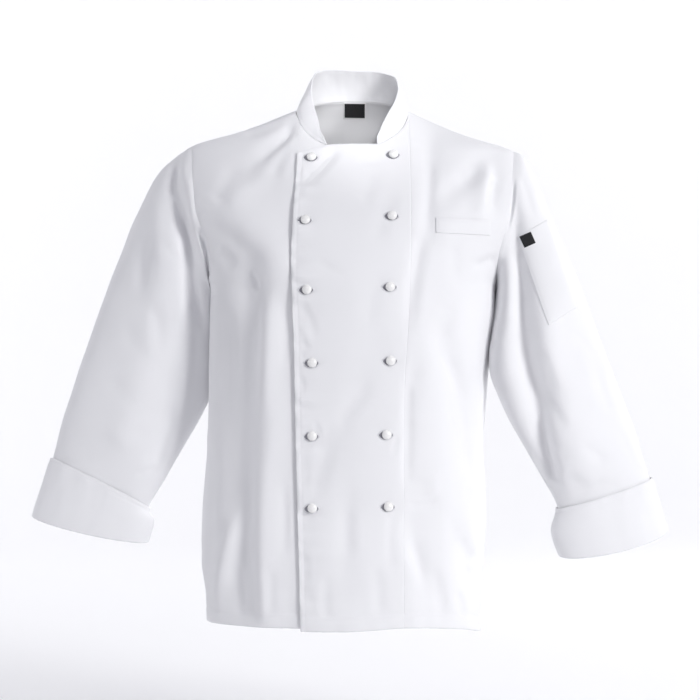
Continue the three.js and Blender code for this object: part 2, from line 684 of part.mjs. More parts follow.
function sleeveFoldHeight(name, place, turn) {
  const folds = sleeveFolds[name].map((fold) => ({
    fromX: fold.fromRow * sleeveRowLength,
    toX: fold.toRow * sleeveRowLength,
    fromZ: fold.fromTurn * sleeveDegreeLength,
    toZ: fold.toTurn * sleeveDegreeLength,
    width: fold.width,
    height: fold.height,
  }));
  const degrees = THREE.MathUtils.radToDeg(turn);
  return foldHeight(folds, place * sleeveRowLength, degrees * sleeveDegreeLength);
}

// The outer surface of a sleeve, with the armhole's own shape blended into its first rows
function sleevePoint(name, place, k) {
  const loop = loops[name];
  const turn = (2 * Math.PI * k) / loop.length;
  const ring = sleeveRing(name, place, turn);
  const start = sleeveRing(name, 0, turn).point;
  const held = (1 - smoothStep(0, armholeBlend, place)) ** armholeBlendPower;
  const toCuff = cuffStart[name] - place;
  const free = smoothStep(0, sleeveFoldFade, place) * smoothStep(0, sleeveFoldFade, toCuff);
  return ring.point
    .addScaledVector(loop[k].point.clone().sub(start), held)
    .addScaledVector(ring.normal, sleeveFoldHeight(name, place, turn) * free);
}

// Rows along the sleeve: some near the armhole, then even ones, with one exactly at the cuff
function sleevePlaces(name) {
  const start = cuffStart[name];
  const last = sleeveSections[name].length - 1;
  const places = [];
  for (let i = 0; i <= freeSleeveRings; i += 1) {
    places.push(start * (i / freeSleeveRings) ** sleeveRingSpread);
  }
  places.push(start + (last - start) / 2, last);
  return places;
}

function sleeveGrid(name) {
  const { side } = armholes[name];
  const loop = loops[name];
  const places = sleevePlaces(name);
  const points = loop.map((spot, k) => places.map((place, i) => {
    if (i === 0) return spot.point.clone().addScaledVector(spot.away, seamGap / 2);
    return sleevePoint(name, place, k);
  }));
  return points.map((column, k) => column.map((outer, i) => {
    const nextRing = column[Math.min(i + 1, column.length - 1)];
    const lastRing = column[Math.max(i - 1, 0)];
    const ahead = points[(k + 1) % points.length][i];
    const behind = points[(k + points.length - 1) % points.length][i];
    const normal = nextRing.clone().sub(lastRing).cross(ahead.clone().sub(behind));
    normal.normalize().multiplyScalar(-side);
    if (i === 0) {
      const { away } = loop[k];
      normal.addScaledVector(away, -Math.max(0, normal.dot(away))).normalize();
    }
    return { outer, normal, inner: outer.clone().addScaledVector(normal, -clothThickness) };
  }));
}

function cuffGeometry(name, grid) {
  const places = sleevePlaces(name);
  const first = places.indexOf(cuffStart[name]);
  const last = places.length - 1;
  return wallGeometry(grid.map((column) => {
    const down = column[last].outer.clone().sub(column[last - 1].outer).normalize();
    const rows = column.slice(first).map(({ outer, normal }, i) => {
      const stand = cuffStand + (i === 1 ? cuffBulge : 0);
      return {
        outer: outer.clone().addScaledVector(normal, stand),
        inner: outer.clone().addScaledVector(normal, stand - cuffThickness),
      };
    });
    const end = column[last];
    rows[rows.length - 1].inner.addScaledVector(down, cuffEndGap);
    rows[rows.length - 1].outer.addScaledVector(down, cuffEndGap);
    rows.push({
      outer: end.outer.clone().addScaledVector(end.normal, cuffStand)
        .addScaledVector(down, cuffEndGap + cuffLip),
      inner: end.inner.clone().addScaledVector(down, cuffEndGap),
    });
    const corner = end.inner.clone().addScaledVector(down, cuffEndGap + cuffLip);
    rows.push({ outer: corner, inner: corner.clone().lerp(rows[rows.length - 1].inner, 0.5) });
    return rows;
  }), true);
}

for (const name of ['right', 'left']) {
  grids[`${name}Sleeve`] = sleeveGrid(name);
  addPiece(`${name}_sleeve`, wallGeometry(grids[`${name}Sleeve`], true), cotton);
  addPiece(`${name}_cuff`, cuffGeometry(name, grids[`${name}Sleeve`]), cotton);
}

// Collar

function collarBase() {
  const rightEnd = rightNeckColumns.indexOf(rightCollarEnd);
  const rightPart = rightNeckColumns.slice(0, rightEnd + 1).reverse()
    .map((x) => ({ ...bodySurface(layers.rightFront, x, underNeckHeight(x)), turn: neckTurn(x, false) }));
  const backPart = backNeckColumns.slice(1, -1)
    .map((x) => ({ ...bodySurface(layers.back, x, 0), turn: neckTurn(x, true) }));
  const leftStart = overlapColumns.indexOf(collarMeetsOverlap);
  const leftPart = overlapColumns.slice(leftStart).reverse()
    .map((x) => ({ ...bodySurface(layers.leftFront, x, neckHeight(x)), turn: neckTurn(x, false) }));
  return [...rightPart, ...backPart, ...leftPart];
}

// Degrees round the neck from the front, below zero on the wearer's right
function neckTurn(x, isBack) {
  const turn = THREE.MathUtils.radToDeg(Math.asin(Math.min(1, Math.abs(x) / neckHalfWidth)));
  return Math.sign(x) * (isBack ? 180 - turn : turn);
}

function collarGrid() {
  const top = ['x', 'y', 'z'].map((column) => smoothColumn(collarTop, 'turn', column));
  const base = collarBase();
  const middle = new THREE.Vector3(0, 0, collarAim);
  const points = base.map((spot, j) => {
    const next = base[Math.min(j + 1, base.length - 1)].point;
    const before = base[Math.max(j - 1, 0)].point;
    const away = next.clone().sub(before).cross(spot.normal).normalize();
    if (away.dot(middle.clone().sub(spot.point)) < 0) away.negate();
    const turn = Math.abs(spot.turn);
    const lean = collarLean.side * smoothStep(collarLean.fromTurn, collarLean.toTurn, turn);
    const shift = spot.turn < 0 ? rightEndShift.side : 0;
    const ending = smoothStep(rightEndShift.fromTurn, rightEndShift.toTurn, turn);
    const edgeX = Math.sign(spot.turn) * top[0](turn) + lean + shift * ending;
    const edge = new THREE.Vector3(edgeX, top[1](turn), top[2](turn));
    const foot = spot.point.clone().addScaledVector(away, seamGap);
    if (j === base.length - 1) foot.x += seamGap;
    const outward = new THREE.Vector3(foot.x, foot.y, 0).normalize();
    const tallness = edge.distanceTo(foot) / collarFullHeight;
    const rows = [];
    for (let i = 0; i <= collarRows; i += 1) {
      const share = i / collarRows;
      const bulge = collarBulge * Math.sin(Math.PI * share) * Math.min(1, tallness);
      rows.push(foot.clone().lerp(edge, share).addScaledVector(outward, bulge));
    }
    return { rows, away };
  });
  const last = points.length - 1;
  const facing = points.map(({ rows }, j) => {
    const ahead = points[Math.min(j + 1, last)].rows;
    const behind = points[Math.max(j - 1, 0)].rows;
    const along = ahead[0].clone().add(ahead[collarRows]).sub(behind[0]).sub(behind[collarRows]);
    const normal = along.cross(rows[collarRows].clone().sub(rows[0])).normalize();
    if (normal.dot(new THREE.Vector3(rows[0].x, rows[0].y, collarAim)) < 0) normal.negate();
    return normal;
  });
  return points.map(({ rows, away }, j) => rows.map((outer, i) => {
    const normal = facing[j].clone();
    if (i === 0) normal.addScaledVector(away, -Math.max(0, normal.dot(away)));
    return { outer, inner: outer.clone().addScaledVector(normal, -collarThickness) };
  }));
}

grids.collar = collarGrid();
addPiece('collar', wallGeometry(grids.collar, false), cotton);

// Patches and buttons

// The spot of a grid's surface that shows nearest at a place in front view
function spotOn(grid, surface, x, z) {
  let best = null;
  for (let j = 0; j + 1 < grid.length; j += 1) {
    for (let i = 0; i + 1 < grid[j].length; i += 1) {
      const [a, b, c, d] = [grid[j][i], grid[j + 1][i], grid[j + 1][i + 1], grid[j][i + 1]]
        .map((cell) => cell[surface]);
      for (const [p, q, r] of [[a, b, c], [a, c, d]]) {
        const area = (q.x - p.x) * (r.z - p.z) - (r.x - p.x) * (q.z - p.z);
        const u = ((x - p.x) * (r.z - p.z) - (r.x - p.x) * (z - p.z)) / area;
        const v = ((q.x - p.x) * (z - p.z) - (x - p.x) * (q.z - p.z)) / area;
        if (u < 0 || v < 0 || u + v > 1) continue;
        const point = p.clone().addScaledVector(q.clone().sub(p), u).addScaledVector(r.clone().sub(p), v);
        const normal = q.clone().sub(p).cross(r.clone().sub(p)).normalize();
        if (normal.y > 0) normal.negate();
        if (!best || point.y < best.point.y) best = { point, normal };
      }
    }
  }
  return best;
}

function patchGrid(grid, surface, patch) {
  const columns = [];
  for (let j = 0; j <= patch.across; j += 1) {
    const u = j / patch.across;
    const column = [];
    for (let i = 0; i <= patch.down; i += 1) {
      const v = i / patch.down;
      const mix = (start, end) => {
        const upper = patch.top[start] * (1 - u) + patch.top[end] * u;
        const lower = patch.bottom[start] * (1 - u) + patch.bottom[end] * u;
        return upper * (1 - v) + lower * v;
      };
      const spot = spotOn(grid, surface, mix('startX', 'endX'), mix('startZ', 'endZ'));
      column.push({
        inner: spot.point.clone().addScaledVector(spot.normal, patch.gap),
        outer: spot.point.clone().addScaledVector(spot.normal, patch.gap + patch.thickness),
      });
    }
    columns.push(column);
  }
  return columns;
}

addPiece('chest_pocket_welt', wallGeometry(patchGrid(grids.leftSide, 'outer', chestWelt), false), cotton);
const penPocketGrid = patchGrid(grids.leftSleeve, 'outer', penPocket);
addPiece('sleeve_pen_pocket', wallGeometry(penPocketGrid, false), cotton);
addPiece('sleeve_label', wallGeometry(patchGrid(penPocketGrid, 'outer', sleeveLabel), false), wovenBlack);
addPiece('neck_label', wallGeometry(patchGrid(grids.back, 'inner', neckLabel), false), wovenBlack);

function buttonGeometry() {
  const { radius, stem, stemLength, rim, height, crown, sides } = button;
  const shoulder = (height + stemLength + rim) / 2;
  const profile = [
    [0, 0], [stem, 0], [stem, stemLength], [radius, stemLength], [radius, stemLength + rim],
    [radius * crown, shoulder + rim], [0, height],
  ].map(([x, y]) => new THREE.Vector2(x, y));
  return new THREE.LatheGeometry(profile, sides);
}

function addButton(name, x, z) {
  const spot = spotOn(grids.overlap, 'outer', x, z);
  const mesh = addPiece(name, buttonGeometry(), studWhite);
  mesh.quaternion.setFromUnitVectors(new THREE.Vector3(0, 1, 0), spot.normal);
  mesh.position.copy(spot.point).addScaledVector(spot.normal, seamGap);
}

buttonPairs.forEach((pair, i) => {
  addButton(`button_right_${i + 1}`, pair.rightX, pair.rightZ);
  addButton(`button_left_${i + 1}`, pair.leftX, pair.leftZ);
});

export default jacket;
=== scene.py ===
import math

import bpy
import numpy as np
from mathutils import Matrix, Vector
from mathutils.bvhtree import BVHTree


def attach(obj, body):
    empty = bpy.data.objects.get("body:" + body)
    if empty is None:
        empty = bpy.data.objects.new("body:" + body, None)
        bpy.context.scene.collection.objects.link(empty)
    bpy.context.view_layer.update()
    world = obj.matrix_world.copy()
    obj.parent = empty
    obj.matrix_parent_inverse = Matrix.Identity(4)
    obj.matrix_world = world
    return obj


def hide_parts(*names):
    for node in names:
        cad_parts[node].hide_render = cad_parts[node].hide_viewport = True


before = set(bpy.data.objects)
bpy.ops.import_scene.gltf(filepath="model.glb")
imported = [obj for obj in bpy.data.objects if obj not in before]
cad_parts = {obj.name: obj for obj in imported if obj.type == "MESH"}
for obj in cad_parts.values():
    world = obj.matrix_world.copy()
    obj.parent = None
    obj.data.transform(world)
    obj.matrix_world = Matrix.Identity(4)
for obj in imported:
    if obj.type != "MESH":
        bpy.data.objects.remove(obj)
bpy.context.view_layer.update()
scene = bpy.context.scene
mm = 0.001


def setInputs(node, **values):
    for name, value in values.items():
        node.inputs[name.replace("_", " ")].default_value = value


# camera, level and straight in front

view = {"x": -3.7, "distance": 3500, "z": -352.5, "frameWidth": 1032.5, "sensor": 36}
camera = bpy.data.objects.new("camera", bpy.data.cameras.new("camera"))
camera.location = Vector((view["x"], -view["distance"], view["z"])) * mm
camera.rotation_euler = (math.pi / 2, 0, 0)
camera.data.sensor_width = view["sensor"]
camera.data.lens = view["sensor"] * view["distance"] / view["frameWidth"]
camera.data.clip_end = 60
scene.collection.objects.link(camera)
scene.camera = camera

# floor and light

studio = {
    "floorZ": -0.96, "front": -1.2, "wallStart": 4.0, "bend": 2.0, "wallTop": 7.0, "halfWidth": 9,
    "floorColor": (0.95, 0.95, 0.955, 1), "worldColor": (0.8, 0.8, 0.92, 1), "worldStrength": 0.32,
    "bendSteps": 12, "aim": (0, 0, -0.35),
}
lights = {
    "key": {"place": (2.35, -2.5, 0.65), "aim": studio["aim"], "size": 1.0, "power": 76},
    "fill": {"place": (-3.0, -1.1, 0.3), "aim": studio["aim"], "size": 1.2, "power": 17},
    "overhead": {"place": (0.2, -1.6, 2.4), "aim": (0, 0, -0.2), "size": 1.4, "power": 13},
    "backdrop right": {"place": (4.0, 2.2, 2.6), "aim": (1.0, 6.0, 0), "size": 2.5, "power": 120},
    "rear": {"place": (2.4, 2.4, 1.0), "aim": studio["aim"], "size": 0.6, "power": 20},
    "backdrop left": {"place": (-4.0, 2.2, 2.6), "aim": (-1.0, 6.0, 0), "size": 2.5, "power": 120},
}
neckLight = {"place": (0.16, -1.8, 0.16), "aim": (0, 0.05, -0.018), "radius": 0.08, "power": 108, "cone": 6.0}


def placeLight(light, place, aim, power):
    light.data.energy = power
    light.location = place
    light.rotation_euler = (Vector(aim) - Vector(place)).to_track_quat("-Z", "Y").to_euler()
    scene.collection.objects.link(light)


for name, settings in lights.items():
    light = bpy.data.objects.new(name, bpy.data.lights.new(name, "AREA"))
    light.data.shape = "DISK"
    light.data.size = settings["size"]
    placeLight(light, settings["place"], settings["aim"], settings["power"])
light = bpy.data.objects.new("neck light", bpy.data.lights.new("neck light", "SPOT"))
light.data.spot_size = math.radians(neckLight["cone"])
light.data.spot_blend = 1
light.data.shadow_soft_size = neckLight["radius"]
placeLight(light, neckLight["place"], neckLight["aim"], neckLight["power"])
world = bpy.data.worlds.new("studio")
world.use_nodes = True
setInputs(world.node_tree.nodes["Background"], Color=studio["worldColor"], Strength=studio["worldStrength"])
scene.world = world
scene.view_settings.view_transform = "Standard"


def sweepProfile():                        # a floor that bends up into a wall behind
    bend, low, start = studio["bend"], studio["floorZ"], studio["wallStart"]
    steps = studio["bendSteps"]
    turns = [math.pi / 2 * k / steps for k in range(steps + 1)]
    curved = [(start + bend * math.sin(t), low + bend * (1 - math.cos(t))) for t in turns]
    return [(studio["front"], low)] + curved + [(start + bend, studio["wallTop"])]


profile = sweepProfile()
half = studio["halfWidth"]
floorMesh = bpy.data.meshes.new("floor")
floorMesh.from_pydata([(x, y, z) for y, z in profile for x in (-half, half)], [],
                      [(2 * i, 2 * i + 1, 2 * i + 3, 2 * i + 2) for i in range(len(profile) - 1)])
floorMesh.polygons.foreach_set("use_smooth", [True] * len(floorMesh.polygons))
floor = bpy.data.objects.new("floor", floorMesh)
scene.collection.objects.link(floor)
floorMaterial = bpy.data.materials.new("pale floor")
floorMaterial.use_nodes = True
setInputs(floorMaterial.node_tree.nodes["Principled BSDF"], Base_Color=studio["floorColor"], Roughness=0.9)
floorMesh.materials.append(floorMaterial)
print("camera, light and floor")


# materials

def clothMaterial(name, color, roughness, sheen, weave, crumple):
    material = bpy.data.materials.new(name)
    material.use_nodes = True
    nodes, links = material.node_tree.nodes, material.node_tree.links
    shader = nodes["Principled BSDF"]
    setInputs(shader, Roughness=roughness, Sheen_Weight=sheen, Sheen_Roughness=0.5)
    setInputs(shader, Specular_IOR_Level=0.25)
    uv = nodes.new("ShaderNodeUVMap")
    uv.uv_map = "cloth"
    split = nodes.new("ShaderNodeSeparateXYZ")
    links.new(uv.outputs["UV"], split.inputs["Vector"])

    def wave(turnsU, turnsV):              # turns for each metre of cloth
        steps = []
        for axis, turns in (("X", turnsU), ("Y", turnsV)):
            step = nodes.new("ShaderNodeMath")
            step.operation = "MULTIPLY"
            step.inputs[1].default_value = 2 * math.pi * turns
            links.new(split.outputs[axis], step.inputs[0])
            steps.append(step)
        total = nodes.new("ShaderNodeMath")
        total.operation = "ADD"
        links.new(steps[0].outputs[0], total.inputs[0])
        links.new(steps[1].outputs[0], total.inputs[1])
        sine = nodes.new("ShaderNodeMath")
        sine.operation = "SINE"
        links.new(total.outputs[0], sine.inputs[0])
        return sine

    twill = wave(1000 / weave["pitch"], 1000 / weave["pitch"])
    thread = wave(1000 / weave["thread"], 0)
    mixed = nodes.new("ShaderNodeMath")
    mixed.operation = "MULTIPLY_ADD"
    mixed.inputs[1].default_value = weave["threadShare"]
    links.new(thread.outputs[0], mixed.inputs[0])
    links.new(twill.outputs[0], mixed.inputs[2])
    weaveBump = nodes.new("ShaderNodeBump")
    setInputs(weaveBump, Strength=weave["strength"], Distance=weave["depth"] * mm)
    links.new(mixed.outputs[0], weaveBump.inputs["Height"])

    place = nodes.new("ShaderNodeTexCoord")
    noise = nodes.new("ShaderNodeTexNoise")
    setInputs(noise, Scale=1000 / crumple["size"], Detail=2.5, Roughness=0.5)
    links.new(place.outputs["Object"], noise.inputs["Vector"])
    crumpleBump = nodes.new("ShaderNodeBump")
    setInputs(crumpleBump, Strength=crumple["strength"], Distance=crumple["depth"] * mm)
    links.new(noise.outputs["Fac"], crumpleBump.inputs["Height"])
    links.new(weaveBump.outputs["Normal"], crumpleBump.inputs["Normal"])
    links.new(crumpleBump.outputs["Normal"], shader.inputs["Normal"])

    tint = nodes.new("ShaderNodeTexNoise")
    setInputs(tint, Scale=7, Detail=2)
    links.new(place.outputs["Object"], tint.inputs["Vector"])
    ramp = nodes.new("ShaderNodeValToRGB")
    ramp.color_ramp.elements[0].color = (*[0.97 * c for c in color], 1)
    ramp.color_ramp.elements[1].color = (*color, 1)
    ramp.color_ramp.elements[0].position = 0.35
    ramp.color_ramp.elements[1].position = 0.65
    links.new(tint.outputs["Fac"], ramp.inputs["Fac"])
    links.new(ramp.outputs["Color"], shader.inputs["Base Color"])
    return material


cotton = clothMaterial(
    "white cotton twill", (0.865, 0.865, 0.88), 0.85, 0.1,
    {"pitch": 1.1, "thread": 0.45, "threadShare": 0.4, "strength": 0.35, "depth": 0.12},
    {"size": 14, "strength": 0.25, "depth": 0.6})
threadWhite = clothMaterial(
    "white thread", (0.9, 0.9, 0.92), 0.7, 0.1,
    {"pitch": 0.4, "thread": 0.3, "threadShare": 0.4, "strength": 0.3, "depth": 0.05},
    {"size": 1, "strength": 0.2, "depth": 0.05})
# painted shade: dark grey for the flat lens laid in each buttonhole, standing for the shadow in the open slit
# and under the stud
slitShade = clothMaterial(
    "painted slit shade", (0.3, 0.3, 0.33), 0.95, 0,
    {"pitch": 0.4, "thread": 0.3, "threadShare": 0.4, "strength": 0.2, "depth": 0.05},
    {"size": 2, "strength": 0.3, "depth": 0.1})
wovenBlack = clothMaterial(
    "woven near-black", (0.016, 0.016, 0.018), 0.7, 0.15,
    {"pitch": 0.5, "thread": 0.35, "threadShare": 0.6, "strength": 0.5, "depth": 0.1},
    {"size": 6, "strength": 0.15, "depth": 0.3})
labelEdge = clothMaterial(
    "pale label edge", (0.9, 0.9, 0.9), 0.75, 0.1,
    {"pitch": 0.5, "thread": 0.35, "threadShare": 0.6, "strength": 0.4, "depth": 0.1},
    {"size": 6, "strength": 0.15, "depth": 0.3})


def studMaterial():
    material = bpy.data.materials.new("glossy white stud")
    material.use_nodes = True
    nodes, links = material.node_tree.nodes, material.node_tree.links
    shader = nodes["Principled BSDF"]
    setInputs(shader, Base_Color=(0.88, 0.875, 0.86, 1), Coat_Weight=0.6, Coat_Roughness=0.08)
    noise = nodes.new("ShaderNodeTexNoise")
    setInputs(noise, Scale=420, Detail=3)
    place = nodes.new("ShaderNodeTexCoord")
    links.new(place.outputs["Object"], noise.inputs["Vector"])
    spread = nodes.new("ShaderNodeMapRange")
    setInputs(spread, To_Min=0.2, To_Max=0.34)
    links.new(noise.outputs["Fac"], spread.inputs["Value"])
    links.new(spread.outputs["Result"], shader.inputs["Roughness"])
    bump = nodes.new("ShaderNodeBump")
    setInputs(bump, Strength=0.08, Distance=0.05 * mm)
    links.new(noise.outputs["Fac"], bump.inputs["Height"])
    links.new(bump.outputs["Normal"], shader.inputs["Normal"])
    return material


studWhite = studMaterial()
print("materials")


# curves, folds and creases

def table(columns, *rows):
    names = columns.split()
    return {name: np.array([row[i] for row in rows], float) for i, name in enumerate(names)}


def smoothStep(start, end, value):
    share = np.clip((value - start) / (end - start), 0, 1)
    return share * share * (3 - 2 * share)


def curve(rows, place, column):            # passes through every row and swings past none
    order = np.argsort(rows[place])
    at, value = rows[place][order], rows[column][order]
    slope = np.diff(value) / np.diff(at)
    product = slope[:-1] * slope[1:]
    total = slope[:-1] + slope[1:]
    inner = np.where(product > 0, 2 * product / np.where(product > 0, total, 1), 0)
    tangent = np.concatenate((slope[:1], inner, slope[-1:]))

    def follow(wanted):
        x = np.clip(wanted, at[0], at[-1])
        i = np.clip(np.searchsorted(at, x, side="right") - 1, 0, len(at) - 2)
        span = at[i + 1] - at[i]
        t = (x - at[i]) / span
        rest = 1 - t
        return (value[i] * rest ** 2 * (1 + 2 * t) + value[i + 1] * t * t * (3 - 2 * t)
                + span * (tangent[i] * t * rest ** 2 - tangent[i + 1] * t * t * rest))

    return follow


def foldHeight(x, z, rows):                # straight soft folds, as the solids have them
    total = np.zeros(np.broadcast(x, z).shape)
    for fromX, fromZ, toX, toZ, width, height in zip(*rows.values()):
        runX, runZ = toX - fromX, toZ - fromZ
        length = math.hypot(runX, runZ)
        along = ((x - fromX) * runX + (z - fromZ) * runZ) / length
        sideways = ((x - fromX) * runZ - (z - fromZ) * runX) / length
        past = np.maximum(0, np.maximum(-along, along - length)) / 2
        total += height * np.exp(-(sideways ** 2 + past ** 2) / (2 * width ** 2))
    return total


def creaseHeight(x, z, rows, parts=12):    # curved finer creases, with a ridge beside each trough
    total = np.zeros(x.shape)
    t = np.linspace(0, 1, parts + 1)
    for x0, z0, x1, z1, x2, z2, width, height, lean in zip(*rows.values()):
        reach = 5 * width
        near = ((x > min(x0, x1, x2) - reach) & (x < max(x0, x1, x2) + reach)
                & (z > min(z0, z1, z2) - reach) & (z < max(z0, z1, z2) + reach))
        if not near.any():
            continue
        px, pz = x[near], z[near]
        bendX, bendZ = 2 * x1 - (x0 + x2) / 2, 2 * z1 - (z0 + z2) / 2
        pathX = (1 - t) ** 2 * x0 + 2 * t * (1 - t) * bendX + t * t * x2
        pathZ = (1 - t) ** 2 * z0 + 2 * t * (1 - t) * bendZ + t * t * z2
        best = np.full(px.shape, 1e9)
        share, side = np.zeros(px.shape), np.zeros(px.shape)
        for i in range(parts):
            runX, runZ = pathX[i + 1] - pathX[i], pathZ[i + 1] - pathZ[i]
            s = np.clip(((px - pathX[i]) * runX + (pz - pathZ[i]) * runZ) / (runX ** 2 + runZ ** 2), 0, 1)
            dx, dz = px - pathX[i] - s * runX, pz - pathZ[i] - s * runZ
            gap = dx * dx + dz * dz
            closer = gap < best
            best = np.where(closer, gap, best)
            share = np.where(closer, (i + s) / parts, share)
            side = np.where(closer, np.sign(runX * dz - runZ * dx), side)
        away = np.sqrt(best) * side / width
        fade = smoothStep(0, 0.3, share) * smoothStep(0, 0.3, 1 - share)
        shape = np.exp(-away ** 2 / 2) - 0.6 * abs(lean) * np.exp(-(away - 1.8 * np.sign(lean)) ** 2 / 2)
        total[near] += height * fade * shape
    return total


def waver(seed, u, v=0.0):                 # smooth noise from -1 to 1, with cells of size 1
    lattice = np.random.default_rng(seed).uniform(-1, 1, (64, 64))
    u, v = np.broadcast_arrays(np.asarray(u, float), np.asarray(v, float))
    i, j = np.floor(u).astype(int), np.floor(v).astype(int)
    s, t = u - i, v - j
    s, t = s * s * (3 - 2 * s), t * t * (3 - 2 * t)
    i0, i1, j0, j1 = i % 64, (i + 1) % 64, j % 64, (j + 1) % 64
    low = lattice[i0, j0] * (1 - s) + lattice[i1, j0] * s
    high = lattice[i0, j1] * (1 - s) + lattice[i1, j1] * s
    return low * (1 - t) + high * t


def spaced(count, *zones):                 # shares from 0 to 1, closer together in zones (at, width, times)
    at = np.linspace(0, 1, 2000)
    density = np.ones(2000)
    for middle, width, times in zones:
        density += (times - 1) * np.exp(-((at - middle) / width) ** 2)
    total = np.concatenate(([0], np.cumsum((density[1:] + density[:-1]) / 2)))
    return np.interp(np.linspace(0, total[-1], count), total, at)


# the body's form, in millimetres: half widths and how far front and back stand from the sides

body = {
    "power": 2.2, "neckHalfWidth": 82, "neckDrop": 62, "underNeckDrop": 4,
    "backNeckRise": 20, "backNeckReach": 60, "backNeckFall": 80, "underarm": -262,
    "overlapLift": 4, "freeEdgeLift": 1, "hem": -750, "thickness": 1.4,
}
sections = table(
    "z right left front back",
    (0, 82, 82, 25, 60), (-14, 120, 112, 33, 70), (-24, 147, 135, 39, 77), (-35, 179, 163, 45, 83),
    (-44, 213, 192, 50, 87), (-52, 236, 220, 55, 91), (-60, 245, 237, 61, 95), (-80, 254, 251, 73, 101),
    (-110, 261, 261, 89, 108), (-145, 262, 262, 103, 112), (-170, 256, 256, 111, 113),
    (-192, 246, 247, 116, 114), (-215, 231, 232, 120, 114), (-240, 216.5, 217.5, 124, 114),
    (-262, 209.5, 211, 126, 114), (-300, 209.8, 210, 128, 113), (-340, 211, 205, 130, 112),
    (-412, 212, 198.5, 131, 108), (-500, 214.5, 192.5, 130, 108), (-574, 220.5, 196.9, 130, 111),
    (-618, 222.3, 196, 131, 114), (-662, 222, 192.5, 132, 116), (-721, 214.6, 188.8, 133, 118),
    (-770, 213, 188, 133, 118))
shoulder = {"right": -52, "left": -60}
sideOf = {"right": -1, "left": 1}
armhole = table(
    "z right left",
    (-52, 236, 237), (-60, 235.8, 237), (-80, 234.5, 235), (-110, 232, 231.5), (-145, 229.5, 228),
    (-170, 224, 224), (-192, 216, 218), (-215, 211, 213), (-240, 209.6, 211.4), (-262, 209.5, 211))
hems = {
    "rightFront": table("x z", (-213, -748.7), (-75, -748.5), (60, -747)),
    "leftFront": table("x z", (-80, -752.4), (-20, -752.4), (25, -750.5), (73, -747.8), (110, -749.5),
                       (160, -755), (188, -763.4)),
    "back": table("x z", (-213, -748.7), (-100, -755), (60, -758), (188, -763.4)),
}
freeEdge = table(
    "z x", (0, -78), (-67, -79.1), (-110, -81.6), (-147, -84.1), (-213, -86.8), (-267, -85.9),
    (-340, -82.9), (-480, -80.1), (-628, -76.3), (-752, -73.4))
frontSeam = table(
    "z x", (0, 82), (-60, 82.5), (-150, 83.4), (-270, 81.8), (-340, 77), (-390, 73.8), (-760, 71.7))
overlapTop = table(
    "x z", (-80, -68), (-62, -62.9), (-44, -58.3), (-27, -56), (-2, -55.3), (19, -55.4), (36, -55.7))
collarMeetsOverlap = 36

frontFolds = table(
    "fromX fromZ toX toZ width height",
    (-154, -285, -160, -700, 14, -6), (-116, -262, -124, -705, 15, 7), (-168, -585, -196, -712, 12, 5),
    (-150, -652, -142, -720, 9, -4), (-80, -26, -140, -84, 11, -4), (-96, -58, -150, -118, 11, 3),
    (-212, -196, -132, -266, 20, -6), (-178, -130, -120, -200, 18, 4), (-188, -330, -176, -560, 15, -5),
    (112, -70, 110, -165, 10, -3), (110, -165, 88, -262, 10, -3), (188, -82, 150, -116, 12, -6),
    (192, -100, 187, -140, 9, 5), (208, -104, 206, -138, 8, -4), (128, -346, 160, -440, 13, -6),
    (162, -446, 172, -555, 13, -6), (84, -400, 84, -530, 9, -3), (112, -330, 130, -560, 16, 4),
    (86, -615, 108, -694, 13, -5), (150, -618, 166, -672, 10, -4), (-34, -95, -74, -142, 13, -2),
    (20, -370, -34, -490, 18, -2), (-8, -575, -12, -668, 12, -2))
backFolds = table(
    "fromX fromZ toX toZ width height",
    (-196, -150, -120, -250, 17, -7), (192, -165, 122, -262, 16, -6), (-150, -300, -122, -560, 17, 6),
    (138, -330, 118, -600, 15, 6), (-96, -340, -88, -640, 15, -6), (84, -300, 92, -610, 17, -5),
    (-60, -70, -112, -160, 16, -4), (52, -74, 98, -172, 14, -4), (-168, -600, -182, -720, 12, 4),
    (26, -430, 14, -700, 15, 3))

creaseColumns = "x0 z0 x1 z1 x2 z2 width height lean"
rightFrontCreases = table(
    creaseColumns,
    (-223, -159, -169, -199, -117, -246, 11, -2.9, 0.6), (-202, -205, -187, -219, -170, -235, 8, -2.7, 0.5),
    (-153, -236, -144, -252, -136, -269, 5, -3.4, 0.6), (-118, -256, -121, -352, -127, -467, 9, 4.5, -0.9),
    (-127, -467, -131, -596, -132, -714, 10, 3.5, -0.9), (-203, -479, -210, -596, -209, -711, 8, -4.1, -0.5),
    (-167, -579, -183, -654, -199, -728, 8, 3.7, -0.4), (-74, -14, -107, -48, -143, -80, 7, -5.4, 0.6),
    (-93, -10, -130, -28, -164, -38, 7, -4.1, 0.5), (-85, -51, -104, -77, -118, -109, 7, -3.4, 0.5),
    (-187, -281, -182, -367, -187, -453, 9, -3.1, 0.5), (-162, -66, -183, -116, -199, -144, 10, -3.4, 0.5),
    (-100, -281, -94, -324, -96, -384, 5, -2.4, 0.5), (-98, -525, -96, -596, -98, -654, 5, -2.2, 0.5),
    (-173, -654, -162, -697, -162, -743, 6, -3.1, 0.5), (-118, -654, -116, -697, -118, -743, 6, -2.7, -0.5),
    (-197, -266, -213, -281, -225, -307, 6, -3.1, 0.5))
